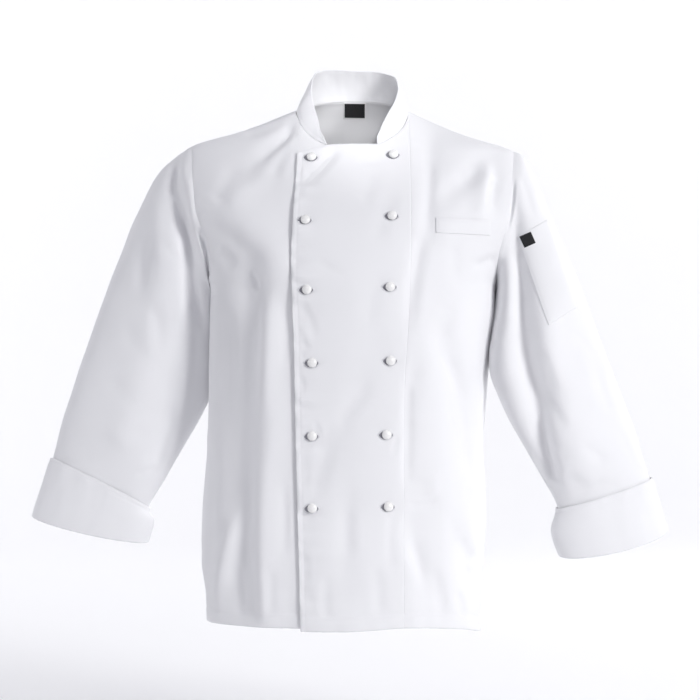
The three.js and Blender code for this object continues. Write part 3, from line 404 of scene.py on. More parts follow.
leftFrontCreases = table(
    creaseColumns,
    (112, -70, 111, -123, 102, -178, 6, -2.6, 0.5), (102, -178, 88, -252, 77, -352, 7, -3.1, 0.5),
    (191, -82, 175, -102, 146, -112, 9, -2.6, 0.4), (196, -70, 194, -109, 190, -150, 8, 1.6, 0),
    (208, -103, 204, -123, 198, -145, 6, -3.9, 0.4), (214, -219, 194, -225, 171, -234, 5, -2.9, -0.5),
    (132, -354, 151, -393, 167, -438, 8, -3.4, -0.5), (167, -438, 171, -496, 183, -556, 8, -3.4, -0.5),
    (77, -384, 78, -467, 74, -567, 6, -2.9, 0.6), (75, -572, 99, -573, 128, -567, 4, -2, 0.5),
    (111, -522, 114, -545, 112, -567, 8, 2.1, 0), (82, -616, 94, -653, 107, -699, 7, -3.4, -0.6),
    (155, -619, 168, -642, 178, -665, 6, -3.1, 0.5), (187, -630, 183, -648, 178, -665, 4, -2.1, -0.5),
    (125, -155, 134, -160, 142, -160, 3, -0.9, 0), (142, -281, 134, -312, 131, -350, 9, -1.8, 0.5),
    (200, -281, 194, -352, 191, -424, 8, -2.3, 0.5), (111, -653, 125, -696, 131, -742, 7, -2.3, 0.6),
    (148, -696, 157, -719, 160, -742, 5, -2, 0.5), (137, -195, 147, -226, 142, -264, 8, -1.7, 0.5),
    (-17, -60, -41, -85, -71, -125, 7, -3.4, 0.7), (-51, -88, -71, -112, -81, -142, 6, -2.3, 0.6),
    (-71, -90, -78, -104, -81, -120, 4, -1.6, 0.5), (56, -78, 26, -84, 1, -81, 4, -0.9, 0.5),
    (33, -94, 23, -124, 12, -145, 8, -1.3, 0.5), (58, -114, 46, -160, 25, -205, 9, -1.3, 0.5),
    (28, -387, 1, -430, -25, -463, 9, -2, 0.5), (-25, -463, -44, -524, -55, -573, 9, -1.7, 0.5),
    (-81, -318, -71, -338, -61, -358, 4, -1.2, 0.5), (-79, -352, -71, -358, -67, -370, 3, -1, 0.5),
    (-79, -384, -72, -395, -71, -413, 3.5, -0.9, 0.5), (59, -473, 61, -485, 53, -503, 3.5, -1.2, 0.5),
    (-55, -455, -51, -464, -47, -477, 3.5, -1, 0.5), (-5, -571, -8, -610, -4, -655, 8, -2, 0.5),
    (-78, -281, -61, -307, -49, -345, 5, -1, 0.5), (-75, -481, -68, -524, -72, -567, 5, -1.2, -0.5),
    (-72, -624, -67, -667, -71, -710, 5, -1.3, 0.5), (28, -653, 36, -695, 31, -741, 7, -1.7, 0.5),
    (-32, -667, -38, -707, -32, -741, 6, -1.6, -0.5), (61, -567, 53, -624, 59, -681, 6, -1.4, 0.5),
    (-58, -217, -32, -238, -1, -247, 7, -1, 0.5), (46, -231, 28, -281, 22, -338, 9, -1.2, 0.5))
backCreases = table(
    creaseColumns,
    (-214, -170, -172, -206, -122, -258, 10, -6.3, 0.6), (212, -178, 166, -214, 120, -262, 9, -6.3, -0.6),
    (-188, -214, -176, -236, -158, -262, 6, -4.2, 0.5), (176, -222, 160, -246, 148, -276, 6, -4.2, -0.5),
    (-152, -290, -140, -400, -132, -520, 8, -5.1, 0.6), (-132, -510, -136, -610, -128, -720, 8, -5.1, 0.5),
    (146, -320, 134, -440, 126, -560, 8, -5.1, -0.5), (122, -570, 130, -650, 124, -732, 8, -4.7, 0.6),
    (-60, -60, -84, -96, -120, -130, 8, -5.1, 0.6), (58, -58, 92, -92, 126, -134, 8, -4.7, -0.6),
    (-30, -350, -22, -470, -34, -620, 10, -3.8, 0.5), (40, -300, 52, -440, 44, -590, 10, -3.8, -0.5),
    (-190, -560, -178, -640, -192, -734, 7, -4.2, 0.5), (168, -600, 176, -670, 166, -744, 7, -4.2, -0.5),
    (0, -640, 8, -690, 2, -744, 8, -3.3, 0.5), (-70, -680, -62, -712, -68, -744, 6, -3, -0.5),
    (78, -660, 70, -700, 76, -744, 6, -3, 0.5), (-40, -120, 0, -132, 44, -118, 12, -3, 0.5),
    (-110, -300, -60, -320, -10, -312, 12, -3.3, 0.5), (20, -280, 70, -300, 112, -290, 12, -3, -0.5))

halfWidth = {name: curve(sections, "z", name) for name in ("right", "left")}
depthOf = {name: curve(sections, "z", name) for name in ("front", "back")}
armholeAt = {name: curve(armhole, "z", name) for name in ("right", "left")}
hemAt = {name: curve(rows, "x", "z") for name, rows in hems.items()}
freeEdgeAt, frontSeamAt = curve(freeEdge, "z", "x"), curve(frontSeam, "z", "x")
overlapTopAt = curve(overlapTop, "x", "z")


def unevenness(x, z, seed):
    return 0.8 * waver(seed, x / 44, z / 120) + 0.4 * waver(seed + 1, x / 19, z / 47)


def layerHeight(layer, x, z, share):
    soft, near = smoothStep(0, 0.35, share), smoothStep(0, 0.18, share)
    if layer == "back":
        fine = creaseHeight(x, z, backCreases) + unevenness(x, z, 11)
        return foldHeight(x, z, backFolds) * soft + fine * near
    if layer == "rightFront":
        shown = 1 - smoothStep(-98, -74, x)
        fine = creaseHeight(x, z, rightFrontCreases) + unevenness(x, z, 21)
        return (foldHeight(x, z, frontFolds) * soft + fine * near) * shown
    lift = body["overlapLift"] * (1 - smoothStep(65, 125, x)) * smoothStep(0, 45, -z)
    edge = body["freeEdgeLift"] * np.exp((freeEdgeAt(z) - x) / 12)
    fine = creaseHeight(x, z, leftFrontCreases) + unevenness(x, z, 31) * (0.5 + 0.5 * smoothStep(60, 110, x))
    shown = smoothStep(-90, -60, x)
    return (lift + edge) * soft + foldHeight(x, z, frontFolds) * shown * soft + fine * near


def bodySurface(layer, x, z):
    face = "back" if layer == "back" else "front"
    sign = 1 if face == "back" else -1
    power = body["power"]
    width = np.where(x < 0, halfWidth["right"](z), halfWidth["left"](z))
    depth = depthOf[face](z)
    across = np.clip(np.abs(x) / width, 0, 1)
    share = (1 - across ** power) ** (1 / power)
    level = np.minimum(z, -1)
    widthNear = [
        np.where(x < 0, halfWidth["right"](level + d), halfWidth["left"](level + d)) for d in (-1, 1)
    ]
    widthSlope = (widthNear[1] - widthNear[0]) / 2
    depthSlope = (depthOf[face](level + 1) - depthOf[face](level - 1)) / 2
    normal = np.stack((
        np.sign(x) * across ** (power - 1) / width,
        sign * share ** (power - 1) / depth,
        -across ** power * widthSlope / width - share ** power * depthSlope / depth), -1)
    normal /= np.linalg.norm(normal, axis=-1, keepdims=True)
    y = sign * depth * share
    reach = np.maximum(0, y) / body["backNeckReach"]
    rise = body["backNeckRise"] * reach ** 1.5 * np.exp(z / body["backNeckFall"])
    height = layerHeight(layer, x, z, share)
    return np.stack((x, y, z + rise), -1) + normal * height[..., None], normal


def shoulderHeight(x):
    z = np.linspace(-62, 0, 1500)
    right = np.interp(np.abs(x), halfWidth["right"](z)[::-1], z[::-1])
    left = np.interp(np.abs(x), halfWidth["left"](z)[::-1], z[::-1])
    return np.where(x < 0, right, left)


def neckHeight(x):
    return -body["neckDrop"] * np.sqrt(np.maximum(0, 1 - (x / body["neckHalfWidth"]) ** 2))


def underNeckHeight(x):
    return neckHeight(x) - body["underNeckDrop"] * smoothStep(-25, 5, x)


def overlapHeight(x):
    return np.where(x < collarMeetsOverlap, overlapTopAt(x), neckHeight(x))


def clothEdge(name, z):
    above = armholeAt[name](np.minimum(z, shoulder[name]))
    return np.where(z <= body["underarm"], halfWidth[name](z), above)


def armholePoint(name, turn, frontLayer):  # from the shoulder point down the front and up the back
    high, low = shoulder[name], body["underarm"]
    z = low + (high - low) * (1 + np.cos(turn)) / 2
    x = sideOf[name] * armholeAt[name](z)
    front, frontNormal = bodySurface(frontLayer, x, z)
    back, backNormal = bodySurface("back", x, z)
    isFront = (turn <= math.pi)[:, None]
    return np.where(isFront, front, back), np.where(isFront, frontNormal, backNormal)


# grids of cloth

def arcs(points, axis):
    step = np.linalg.norm(np.diff(points, axis=axis), axis=-1)
    zero = np.zeros_like(np.take(step, [0], axis=axis))
    return np.concatenate((zero, np.cumsum(step, axis=axis)), axis=axis)


def gridNormals(points, around, facing):
    if around:
        first = np.roll(points, -1, 0) - np.roll(points, 1, 0)
    else:
        first = np.gradient(points, axis=0)
    normal = np.cross(first, np.gradient(points, axis=1))
    normal /= np.linalg.norm(normal, axis=-1, keepdims=True) + 1e-9
    return normal * np.sign((normal * facing).sum())


def sink(distance, depth, reach):
    return -depth * np.exp(-distance / reach)


def pucker(seed, along, distance, height, length, reach):
    return height * waver(seed, along / length, 0.5) * (distance / reach) * np.exp(1 - distance / reach)


def groove(distance, at, depth=0.4, width=1.6):
    return -depth * np.exp(-((distance - at) / width) ** 2)


def bandAcross(points, distance, wanted):  # one point on each column, at a distance along it
    return np.array([[np.interp(wanted, d, p[:, k]) for k in range(3)] for p, d in zip(points, distance)])


def makeShell(name, outer, inner, around, material):
    columns, rows = outer.shape[:2]
    count = columns * rows
    thick = np.linalg.norm(outer - inner, axis=-1, keepdims=True)
    index = np.arange(count).reshape(columns, rows)
    nextOf = (np.arange(columns) + 1) % columns
    last = columns if around else columns - 1
    acrossArc = arcs(np.concatenate((outer, outer[:1])) if around else outer, 0).mean(1) * mm
    alongArc = arcs(outer, 1).mean(0) * mm
    c, r = (grid.ravel() for grid in np.meshgrid(np.arange(last), np.arange(rows - 1), indexing="ij"))
    quads = np.stack((index[c, r], index[nextOf[c], r], index[nextOf[c], r + 1], index[c, r + 1]), -1)
    uv = np.stack((np.stack((acrossArc[c], acrossArc[c + 1], acrossArc[c + 1], acrossArc[c]), -1),
                   np.stack((alongArc[r], alongArc[r], alongArc[r + 1], alongArc[r + 1]), -1)), -1)
    faces, uvs = [quads, quads[:, ::-1] + count], [uv, uv[:, ::-1]]
    points = [outer.reshape(-1, 3), inner.reshape(-1, 3)]
    total = 2 * count
    if around:
        loops = [(np.arange(columns), np.full(columns, row), step) for row, step in ((0, 1), (rows - 1, -1))]
    else:
        loops = [(np.concatenate((np.arange(columns - 1), np.full(rows - 1, columns - 1),
                                  np.arange(columns - 1, 0, -1), np.zeros(rows - 1, int))),
                  np.concatenate((np.zeros(columns - 1, int), np.arange(rows - 1),
                                  np.full(columns - 1, rows - 1), np.arange(rows - 1, 0, -1))), None)]
    for number, (c, r, step) in enumerate(loops):
        if step is None:
            insideC, insideR = np.clip(c, 1, columns - 2), np.clip(r, 1, rows - 2)
        else:
            insideC, insideR = c, r + step
        out = outer[c, r] - outer[insideC, insideR]
        out /= np.linalg.norm(out, axis=-1, keepdims=True) + 1e-9
        points.append((outer[c, r] + inner[c, r]) / 2 + out * thick[c, r] * 0.4)
        ring = total + np.arange(len(c))
        total += len(c)
        here, nextHere = index[c, r], np.roll(index[c, r], -1)
        nextRing = np.roll(ring, -1)
        upper = np.stack((here, ring, nextRing, nextHere), -1)
        lower = np.stack((ring, here + count, nextHere + count, nextRing), -1)
        if number == 1:
            upper, lower = upper[:, ::-1], lower[:, ::-1]
        faces += [upper, lower]
        place = np.stack((acrossArc[c], alongArc[r]), -1)
        following = place + np.array([0.001, 0])
        edgeUv = np.stack((place, place, following, following), 1)
        uvs += [edgeUv, edgeUv]
    faces, uvs, points = np.concatenate(faces), np.concatenate(uvs), np.concatenate(points)
    mesh = bpy.data.meshes.new(name)
    mesh.from_pydata((points * mm).tolist(), [], faces.tolist())
    layer = mesh.uv_layers.new(name="cloth")
    layer.data.foreach_set("uv", uvs.reshape(-1).astype(np.float32))
    mesh.polygons.foreach_set("use_smooth", np.ones(len(faces), bool))
    mesh.materials.append(material)
    mesh.update()
    obj = bpy.data.objects.new(name, mesh)
    scene.collection.objects.link(obj)
    return obj


cloth = {}
stitchPaths = {}


def addCloth(name, outer, facing, around=False, thickness=None, material=cotton):
    normal = gridNormals(outer, around, facing)
    inner = outer - normal * (thickness or body["thickness"])
    cloth[name] = {"object": makeShell(name, outer, inner, around, material), "outer": outer}
    stitchPaths.setdefault(name, [])


def bodyRows(hem, top, lower, upper):
    under = body["underarm"]
    below = hem[:, None] + (under - hem[:, None]) * lower[None, :-1]
    above = under + (top[:, None] - under) * upper[None, :]
    return np.concatenate((below, above), 1)


hemTurn = {
    "height": 20, "depth": 0.8, "step": 0.8, "pucker": (0.8, 15, 9), "sink": (0.5, 1.2),
    "ripple": 1.1, "rippleLength": 17, "rippleReach": 22,
}
seam = {"sink": (0.35, 1.6), "pucker": (0.5, 15, 8), "topSink": (0.6, 2.2)}
lap = {"width": 1.8, "fade": 3, "sink": (0.7, 2.5), "pucker": (0.5, 15, 8), "stitchAt": 2.2}
freeEdgeSewing = {
    "sink": (0.6, 1.0), "stitchAt": 7, "stitchDepth": 0.35, "pucker": (2.8, 11, 9), "topStitchAt": 6,
}
lowerRows = spaced(118, (0.0, 0.06, 2.2))
upperRows = spaced(74, (1.0, 0.08, 1.8))


def hemShape(distance, along, seed):
    shape = groove(distance, hemTurn["height"], hemTurn["depth"])
    shape += hemTurn["step"] * (1 - smoothStep(hemTurn["height"] - 1, hemTurn["height"] + 2, distance))
    shape += pucker(seed, along, np.abs(distance - hemTurn["height"]), *hemTurn["pucker"])
    ripple = waver(seed + 5, along / hemTurn["rippleLength"], distance / 40)
    shape += hemTurn["ripple"] * ripple * np.exp(-distance / hemTurn["rippleReach"])
    return shape + sink(distance, *hemTurn["sink"])


def finishPanel(name, points, normal, first, last, seed):
    across, along = arcs(points, 0), arcs(points, 1)
    if first == "lapped":                  # runs on under its neighbour's edge
        under = points[:1] - points[1:2]
        under /= np.linalg.norm(under, axis=-1, keepdims=True)
        points = points + under * (lap["width"] * np.exp(-across / lap["fade"]))[..., None]
    toEnd, toTop = across[-1:] - across, along[:, -1:] - along
    height = hemShape(along, across, seed)
    for kind, distance, shift in ((first, across, 1), (last, toEnd, 2)):
        if kind == "seam":
            height += sink(distance, *seam["sink"]) + pucker(seed + shift, along, distance, *seam["pucker"])
        elif kind == "lapped":
            height += sink(distance, *lap["sink"]) + pucker(seed + shift, along, distance, *lap["pucker"])
        elif kind == "edge":
            height += sink(distance, *freeEdgeSewing["sink"])
            height += groove(distance, freeEdgeSewing["stitchAt"], freeEdgeSewing["stitchDepth"])
            height += pucker(seed + shift, along, distance, *freeEdgeSewing["pucker"])
    height += sink(toTop, *seam["topSink"])
    outer = points + normal * height[..., None]
    addCloth(name, outer, normal)
    stitchPaths[name].append(bandAcross(outer, along, hemTurn["height"]))
    return outer, across, along


columnsOf = {"back": 190, "rightFront": 120, "overlap": 104, "leftSide": 84}

turn = np.linspace(-math.pi / 2, math.pi / 2, columnsOf["back"])
edgeTop = {name: float(armholeAt[name](shoulder[name])) for name in ("right", "left")}


def panelColumns(turn, hemName, neckTop):
    share = np.sin(turn)
    names = np.where(share < 0, "right", "left")
    topX = share * np.where(share < 0, edgeTop["right"], edgeTop["left"])
    beside = np.abs(topX) >= body["neckHalfWidth"]
    top = np.where(beside, shoulderHeight(topX), neckTop(topX))
    atHem = share * np.where(share < 0, clothEdge("right", body["hem"]), clothEdge("left", body["hem"]))
    z = bodyRows(hemAt[hemName](atHem), top, lowerRows, upperRows)
    edge = np.where((names == "right")[:, None], clothEdge("right", z), clothEdge("left", z))
    return share[:, None] * edge, z


x, z = panelColumns(turn, "back", lambda topX: 0 * topX)
points, normal = bodySurface("back", x, z)
finishPanel("back", points, normal, "seam", "seam", 101)

turn = np.linspace(-math.pi / 2, math.asin(58 / edgeTop["left"]), columnsOf["rightFront"])
x, z = panelColumns(turn, "rightFront", underNeckHeight)
points, normal = bodySurface("rightFront", x, z)
finishPanel("right_front", points, normal, "seam", "plain", 111)

share = spaced(columnsOf["overlap"], (0, 0.06, 2.4), (1, 0.04, 1.6))
topX = -80 + 162 * share
hem = hemAt["leftFront"](freeEdgeAt(-750) + (frontSeamAt(-750) - freeEdgeAt(-750)) * share)
z = bodyRows(hem, overlapHeight(topX), lowerRows, upperRows)
x = freeEdgeAt(z) + (frontSeamAt(z) - freeEdgeAt(z)) * share[:, None]
points, normal = bodySurface("leftFront", x, z)
overlap, across, along = finishPanel("left_front_placket", points, normal, "edge", "seam", 121)
edgeLine = bandAcross(overlap.transpose(1, 0, 2), across.T, freeEdgeSewing["stitchAt"])
topLine = bandAcross(overlap[:, ::-1], (along[:, -1:] - along)[:, ::-1], freeEdgeSewing["topStitchAt"])
stitchPaths["left_front_placket"] += [edgeLine, topLine]

share = np.linspace(0, 1, columnsOf["leftSide"])
seamTurnTop = math.asin(82 / edgeTop["left"])
topX = edgeTop["left"] * np.sin(seamTurnTop + (math.pi / 2 - seamTurnTop) * share)
hemEdge = float(clothEdge("left", body["hem"]))
hemSeam = math.asin(float(frontSeamAt(body["hem"])) / hemEdge)
hem = hemAt["leftFront"](hemEdge * np.sin(hemSeam + (math.pi / 2 - hemSeam) * share))
z = bodyRows(hem, shoulderHeight(topX), lowerRows, upperRows)
edge = clothEdge("left", z)
seamTurn = np.arcsin(frontSeamAt(z) / edge)
x = edge * np.sin(seamTurn + (math.pi / 2 - seamTurn) * share[:, None])
points, normal = bodySurface("leftFront", x, z)
leftSide, across, _ = finishPanel("left_front_side", points, normal, "lapped", "seam", 131)
lapLine = bandAcross(leftSide.transpose(1, 0, 2), across.T, lap["stitchAt"])
stitchPaths["left_front_side"].append(lapLine)
print("body panels")


# sleeves: the ends of each ring in front view, its middle in depth, its half depth and its sag

sleeves = {
    "right": table(
        "outerX outerZ innerX innerZ middle depth sag",
        (-236, -52, -209.5, -262, 0, 56, 0), (-259, -65, -207, -266, 5, 56, 0),
        (-291.6, -96, -203.5, -284, 18, 54, 0), (-323.3, -156, -204, -315, 28, 52, 0),
        (-344, -207, -205, -350, 36, 51, 0), (-364.5, -258, -204.5, -385, 41, 50, 0),
        (-382.6, -308, -211, -420, 41, 49, 0), (-401, -361, -226, -452, 40, 48, 0),
        (-418.3, -414, -248, -490, 38, 45, 0), (-434.6, -465, -274, -535, 36, 39, 0),
        (-446.5, -514, -304, -587, 34, 30, -5), (-460, -559, -299.5, -608, 34, 30, 1),
        (-473.9, -598.5, -306.5, -635.9, 34, 32, 6)),
    "left": table(
        "outerX outerZ innerX innerZ middle depth sag",
        (237, -60, 211, -262, 0, 56, 0), (252, -68, 211, -266, -1, 56, 0),
        (271, -104, 208.5, -281, -6, 56, 0), (290.7, -155, 206.5, -302, -15, 54, 0),
        (311, -204, 203, -330, -26, 53, 0), (331.5, -254, 199, -360, -35, 52, 0),
        (349, -305, 201, -390, -41, 51, 0), (369, -358, 213, -422, -42, 50, 0),
        (388.5, -408, 231.5, -461, -42, 47, 0), (406, -456, 254, -501.5, -41, 43, 0),
        (421.5, -503, 276, -540, -40, 37, 1), (433.5, -539.5, 299, -583, -39, 31, 3),
        (445, -577.5, 293.5, -616.5, -39, 31, 7), (456.4, -613.3, 303, -649.5, -39, 33, 12)),
}
cuffStart = {"right": 10, "left": 11}
rowLength, degreeLength = 50, 1.25        # a sleeve row and a degree round it, laid out in millimetres
sleeveFolds = {
    "right": table(
        "fromRow fromTurn toRow toTurn width height",
        (1.1, 34, 1.7, 90, 14, -9), (1.8, 94, 3.2, 124, 14, -9), (3.4, 126, 7.2, 140, 14, -6),
        (2.6, 78, 8.5, 92, 15, 5), (1.2, 214, 4.2, 250, 13, -8), (4.6, 300, 8.6, 282, 14, -5)),
    "left": table(
        "fromRow fromTurn toRow toTurn width height",
        (2, 94, 3.9, 104, 13, -8), (4, 105, 7.4, 118, 14, -13), (7.5, 119, 10.1, 148, 14, -9),
        (5.6, 78, 10, 100, 13, 4), (1.4, 212, 4.8, 244, 13, -8), (5.2, 292, 9, 274, 14, -5)),
}
for rows in sleeveFolds.values():
    for name in ("fromRow", "toRow"):
        rows[name] *= rowLength
    for name in ("fromTurn", "toTurn"):
        rows[name] *= degreeLength
sleeveCreases = {
    "left": {
        "front": table(
            creaseColumns,
            (238, -199, 241, -245, 244, -283, 6, -3.8, 0.6), (242, -262, 248, -352, 257, -427, 14, -10, 0.3),
            (262, -281, 272, -352, 284, -427, 14, 3.5, 0),
            (257, -424, 270, -496, 286, -557, 12, -9, 0.3), (284, -424, 300, -496, 318, -552, 13, 3, 0),
            (222, -206, 225, -273, 231, -338, 7, 4.2, 0),
            (211, -420, 216, -427, 224, -430, 3, -1.6, 0.5), (326, -485, 347, -501, 369, -517, 7, -1.3, 0.6),
            (301, -528, 324, -544, 347, -560, 8, -1.5, 0.6), (385, -450, 408, -494, 429, -537, 6, 2.6, 0),
            (284, -482, 301, -499, 316, -519, 8, -1.2, 0.5), (277, -424, 293, -442, 307, -471, 6, -2.2, 0.5),
            (353, -367, 362, -413, 382, -453, 7, -2.2, 0.5), (270, -93, 283, -131, 287, -168, 5, -1.9, 0.5),
            (247, -93, 255, -129, 270, -174, 6, -2.2, -0.5), (307, -209, 319, -252, 333, -281, 7, -1.6, 0.5),
            (342, -540, 365, -548, 388, -545, 7, -1, 0.5), (264, -345, 281, -384, 287, -424, 6, -2.4, 0.5),
            (313, -324, 342, -352, 356, -396, 8, -1.6, 0.4)),
        "back": table(
            creaseColumns,
            (232, -120, 262, -170, 270, -230, 7, -3.5, 0.6), (300, -250, 270, -300, 262, -360, 8, -3.8, 0.5),
            (330, -330, 300, -370, 292, -420, 7, -3.2, -0.5), (372, -430, 340, -452, 300, -462, 6, -2.9, 0.5),
            (392, -478, 360, -500, 322, -520, 6, -2.9, 0.6), (280, -180, 300, -220, 312, -268, 8, -2.2, 0.5),
            (250, -400, 280, -440, 320, -470, 6, -2.6, -0.5),
            (400, -520, 372, -545, 340, -560, 5, -2.2, 0.5)),
    },
    "right": {
        "front": table(
            creaseColumns,
            (-262, -84, -264, -140, -250, -200, 12, -5, 0.5),
            (-254, -71, -263, -100, -265, -127, 5, -3.8, 0.6),
            (-265, -125, -253, -155, -243, -187, 6, -4.2, 0.6),
            (-243, -184, -237, -279, -241, -429, 7, -4.2, 0.5),
            (-282, -122, -287, -184, -275, -238, 8, 2.9, 0),
            (-326, -470, -304, -476, -276, -470, 8, -0.7, 0.5),
            (-271, -212, -263, -213, -256, -210, 3, -1, 0),
            (-300, -177, -309, -223, -312, -279, 8, -2.6, 0.5),
            (-259, -429, -274, -484, -297, -546, 7, -3.2, 0.5),
            (-366, -380, -340, -416, -306, -440, 9, -0.9, 0.5),
            (-372, -470, -346, -500, -306, -516, 8, -0.8, 0.5),
            (-336, -310, -318, -346, -286, -372, 9, -0.8, 0.5),
            (-392, -520, -366, -550, -326, -564, 8, -0.8, 0.5),
            (-294, -279, -285, -323, -288, -370, 7, -2.1, -0.5),
            (-320, -543, -306, -531, -285, -528, 4, -1.9, 0.5),
            (-238, -103, -244, -133, -241, -165, 5, -2.2, 0.5)),
        "back": table(
            creaseColumns,
            (-240, -110, -268, -160, -282, -220, 7, -3.5, 0.6),
            (-310, -240, -282, -300, -270, -360, 8, -3.8, 0.5),
            (-340, -330, -308, -370, -300, -430, 7, -3.2, -0.5),
            (-380, -440, -346, -462, -306, -470, 6, -2.9, 0.5),
            (-410, -490, -378, -512, -336, -524, 6, -2.9, 0.6),
            (-290, -170, -312, -220, -330, -268, 8, -2.2, 0.5),
            (-262, -420, -292, -452, -332, -476, 6, -2.6, -0.5),
            (-420, -520, -392, -545, -352, -560, 5, -2.2, 0.5)),
    },
}


def alongRows(rows, place):                # Catmull-Rom through every row
    last = len(rows["middle"]) - 1
    i = np.clip(np.floor(place).astype(int), 0, last - 1)
    t = place - i
    around = [np.clip(i + n, 0, last) for n in (-1, 0, 1, 2)]
    result = {}
    for name, values in rows.items():
        a, b, c, d = (values[n] for n in around)
        result[name] = b + t * (c - a + t * (2 * a - 5 * b + 4 * c - d + t * (3 * (b - c) + d - a))) / 2
    return result


def sleeveRing(name, place, turn):
    row = alongRows(sleeves[name], place)
    outwardX, outwardZ = row["outerX"] - row["innerX"], row["outerZ"] - row["innerZ"]
    length = np.hypot(outwardX, outwardZ)
    outwardX, outwardZ = outwardX / length, outwardZ / length
    downX, downZ = outwardZ, -outwardX
    flip = np.where(downZ > 0, -1, 1)
    cos, sin = np.cos(turn), np.sin(turn)
    bulge = length / 2 * cos
    sag = row["sag"] * sin
    point = np.stack((
        (row["outerX"] + row["innerX"]) / 2 + outwardX * bulge + downX * flip * sag,
        row["middle"] - row["depth"] * sin,
        (row["outerZ"] + row["innerZ"]) / 2 + outwardZ * bulge + downZ * flip * sag), -1)
    normal = np.stack((outwardX * cos / length * 2, -sin / row["depth"], outwardZ * cos / length * 2), -1)
    return point, normal / np.linalg.norm(normal, axis=-1, keepdims=True)


def sleeveForm(name, places, turns):
    frontLayer = "rightFront" if name == "right" else "leftFront"
    loop = armholePoint(name, turns, frontLayer)[0]
    start = sleeveRing(name, np.zeros(len(turns)), turns)[0]
    place, turn = np.meshgrid(places, turns)
    point, normal = sleeveRing(name, place, turn)
    held = (1 - smoothStep(0, 2.5, place)) ** 1.5
    toCuff = cuffStart[name] - place
    free = smoothStep(0, 1.5, place) * smoothStep(0, 1.5, toCuff)
    point = point + (loop - start)[:, None] * held[..., None]
    fold = foldHeight(place * rowLength, np.degrees(turn) * degreeLength, sleeveFolds[name]) * free
    x, z = point[..., 0], point[..., 2]
    facing = -normal[..., 1]
    fine = creaseHeight(x, z, sleeveCreases[name]["front"]) * smoothStep(0.05, 0.5, facing)
    fine += creaseHeight(x, z, sleeveCreases[name]["back"]) * smoothStep(0.05, 0.5, -facing)
    seed = 41 if name == "right" else 51
    slow = 0.9 * waver(seed, np.cos(turn) * 2 + 8, place * 0.55)
    fine += slow + 0.5 * waver(seed + 1, turn * 3, place * 1.5)
    fine *= smoothStep(0, 0.8, place) * smoothStep(-0.1, 0.6, toCuff)
    return point + normal * (fold + fine)[..., None], normal


armholeTucks = {                           # where the sleeve's cloth folds in beside the front armhole
    "right": {"high": -165, "low": -285, "depth": 10, "width": 6, "at": 8},
    "left": {"high": -95, "low": -185, "depth": 4, "width": 3, "at": 4},
}


sleeveSewing = {
    "columns": 150, "rows": 176, "tuckUnder": 2.2, "fade": 3, "sink": (0.8, 2.5), "pucker": (0.6, 14, 9),
    "roll": 0.5, "rollReach": 14, "stitchAt": 6,
}


def addSleeve(name):
    sewn, columns = sleeveSewing, sleeveSewing["columns"]
    turns = np.arange(columns) * 2 * math.pi / columns
    last = len(sleeves[name]["middle"]) - 1
    places = last * spaced(sewn["rows"], (0, 0.03, 2), (cuffStart[name] / last, 0.02, 1.5))
    points, normal = sleeveForm(name, places, turns)
    along, across = arcs(points, 1), arcs(points, 0)
    tuck = armholeTucks[name]
    inward = points[:, :1] - points[:, 2:3]
    inward /= np.linalg.norm(inward, axis=-1, keepdims=True)
    points = points + inward * (sewn["tuckUnder"] * np.exp(-along / sewn["fade"]))[..., None]
    height = sink(along, *sewn["sink"]) + pucker(151, across, along, *sewn["pucker"])
    height += sewn["roll"] * smoothStep(0, 6, along) * np.exp(-along / sewn["rollReach"])
    z = points[:, :1, 2] + 0 * along
    held = smoothStep(tuck["low"], tuck["low"] + 40, z) * (1 - smoothStep(tuck["high"] - 30, tuck["high"], z))
    held *= smoothStep(0.2, 0.6, np.sin(turns))[:, None]
    trough = smoothStep(0, 4, along) * np.exp(-((along - tuck["at"]) / tuck["width"]) ** 2)
    height -= tuck["depth"] * held * trough
    outer = points + normal * height[..., None]
    addCloth(name + "_sleeve", outer, normal, around=True)
    ring = bandAcross(outer, along, sewn["stitchAt"])
    stitchPaths[name + "_sleeve"].append(np.concatenate((ring, ring[:1])))


cuff = {
    "columns": 160, "rows": 34, "insideRows": 16, "stand": 3.7, "layer": 0.6, "thickness": 1.1, "inset": 1.2,
    "lip": 2.2, "lipSteps": 9, "bulge": 1.0, "stitchRows": (3, 6.5), "stitchDepth": 0.6, "stitchWidth": 1.3,
    "seamFromEnd": 12, "seamDepth": 0.9, "seamWidth": 1.5, "seamPucker": 1.1, "seamReach": 7,
    "pucker": (0.6, 11, 9), "sink": (0.7, 1.2), "waver": 0.8,
}


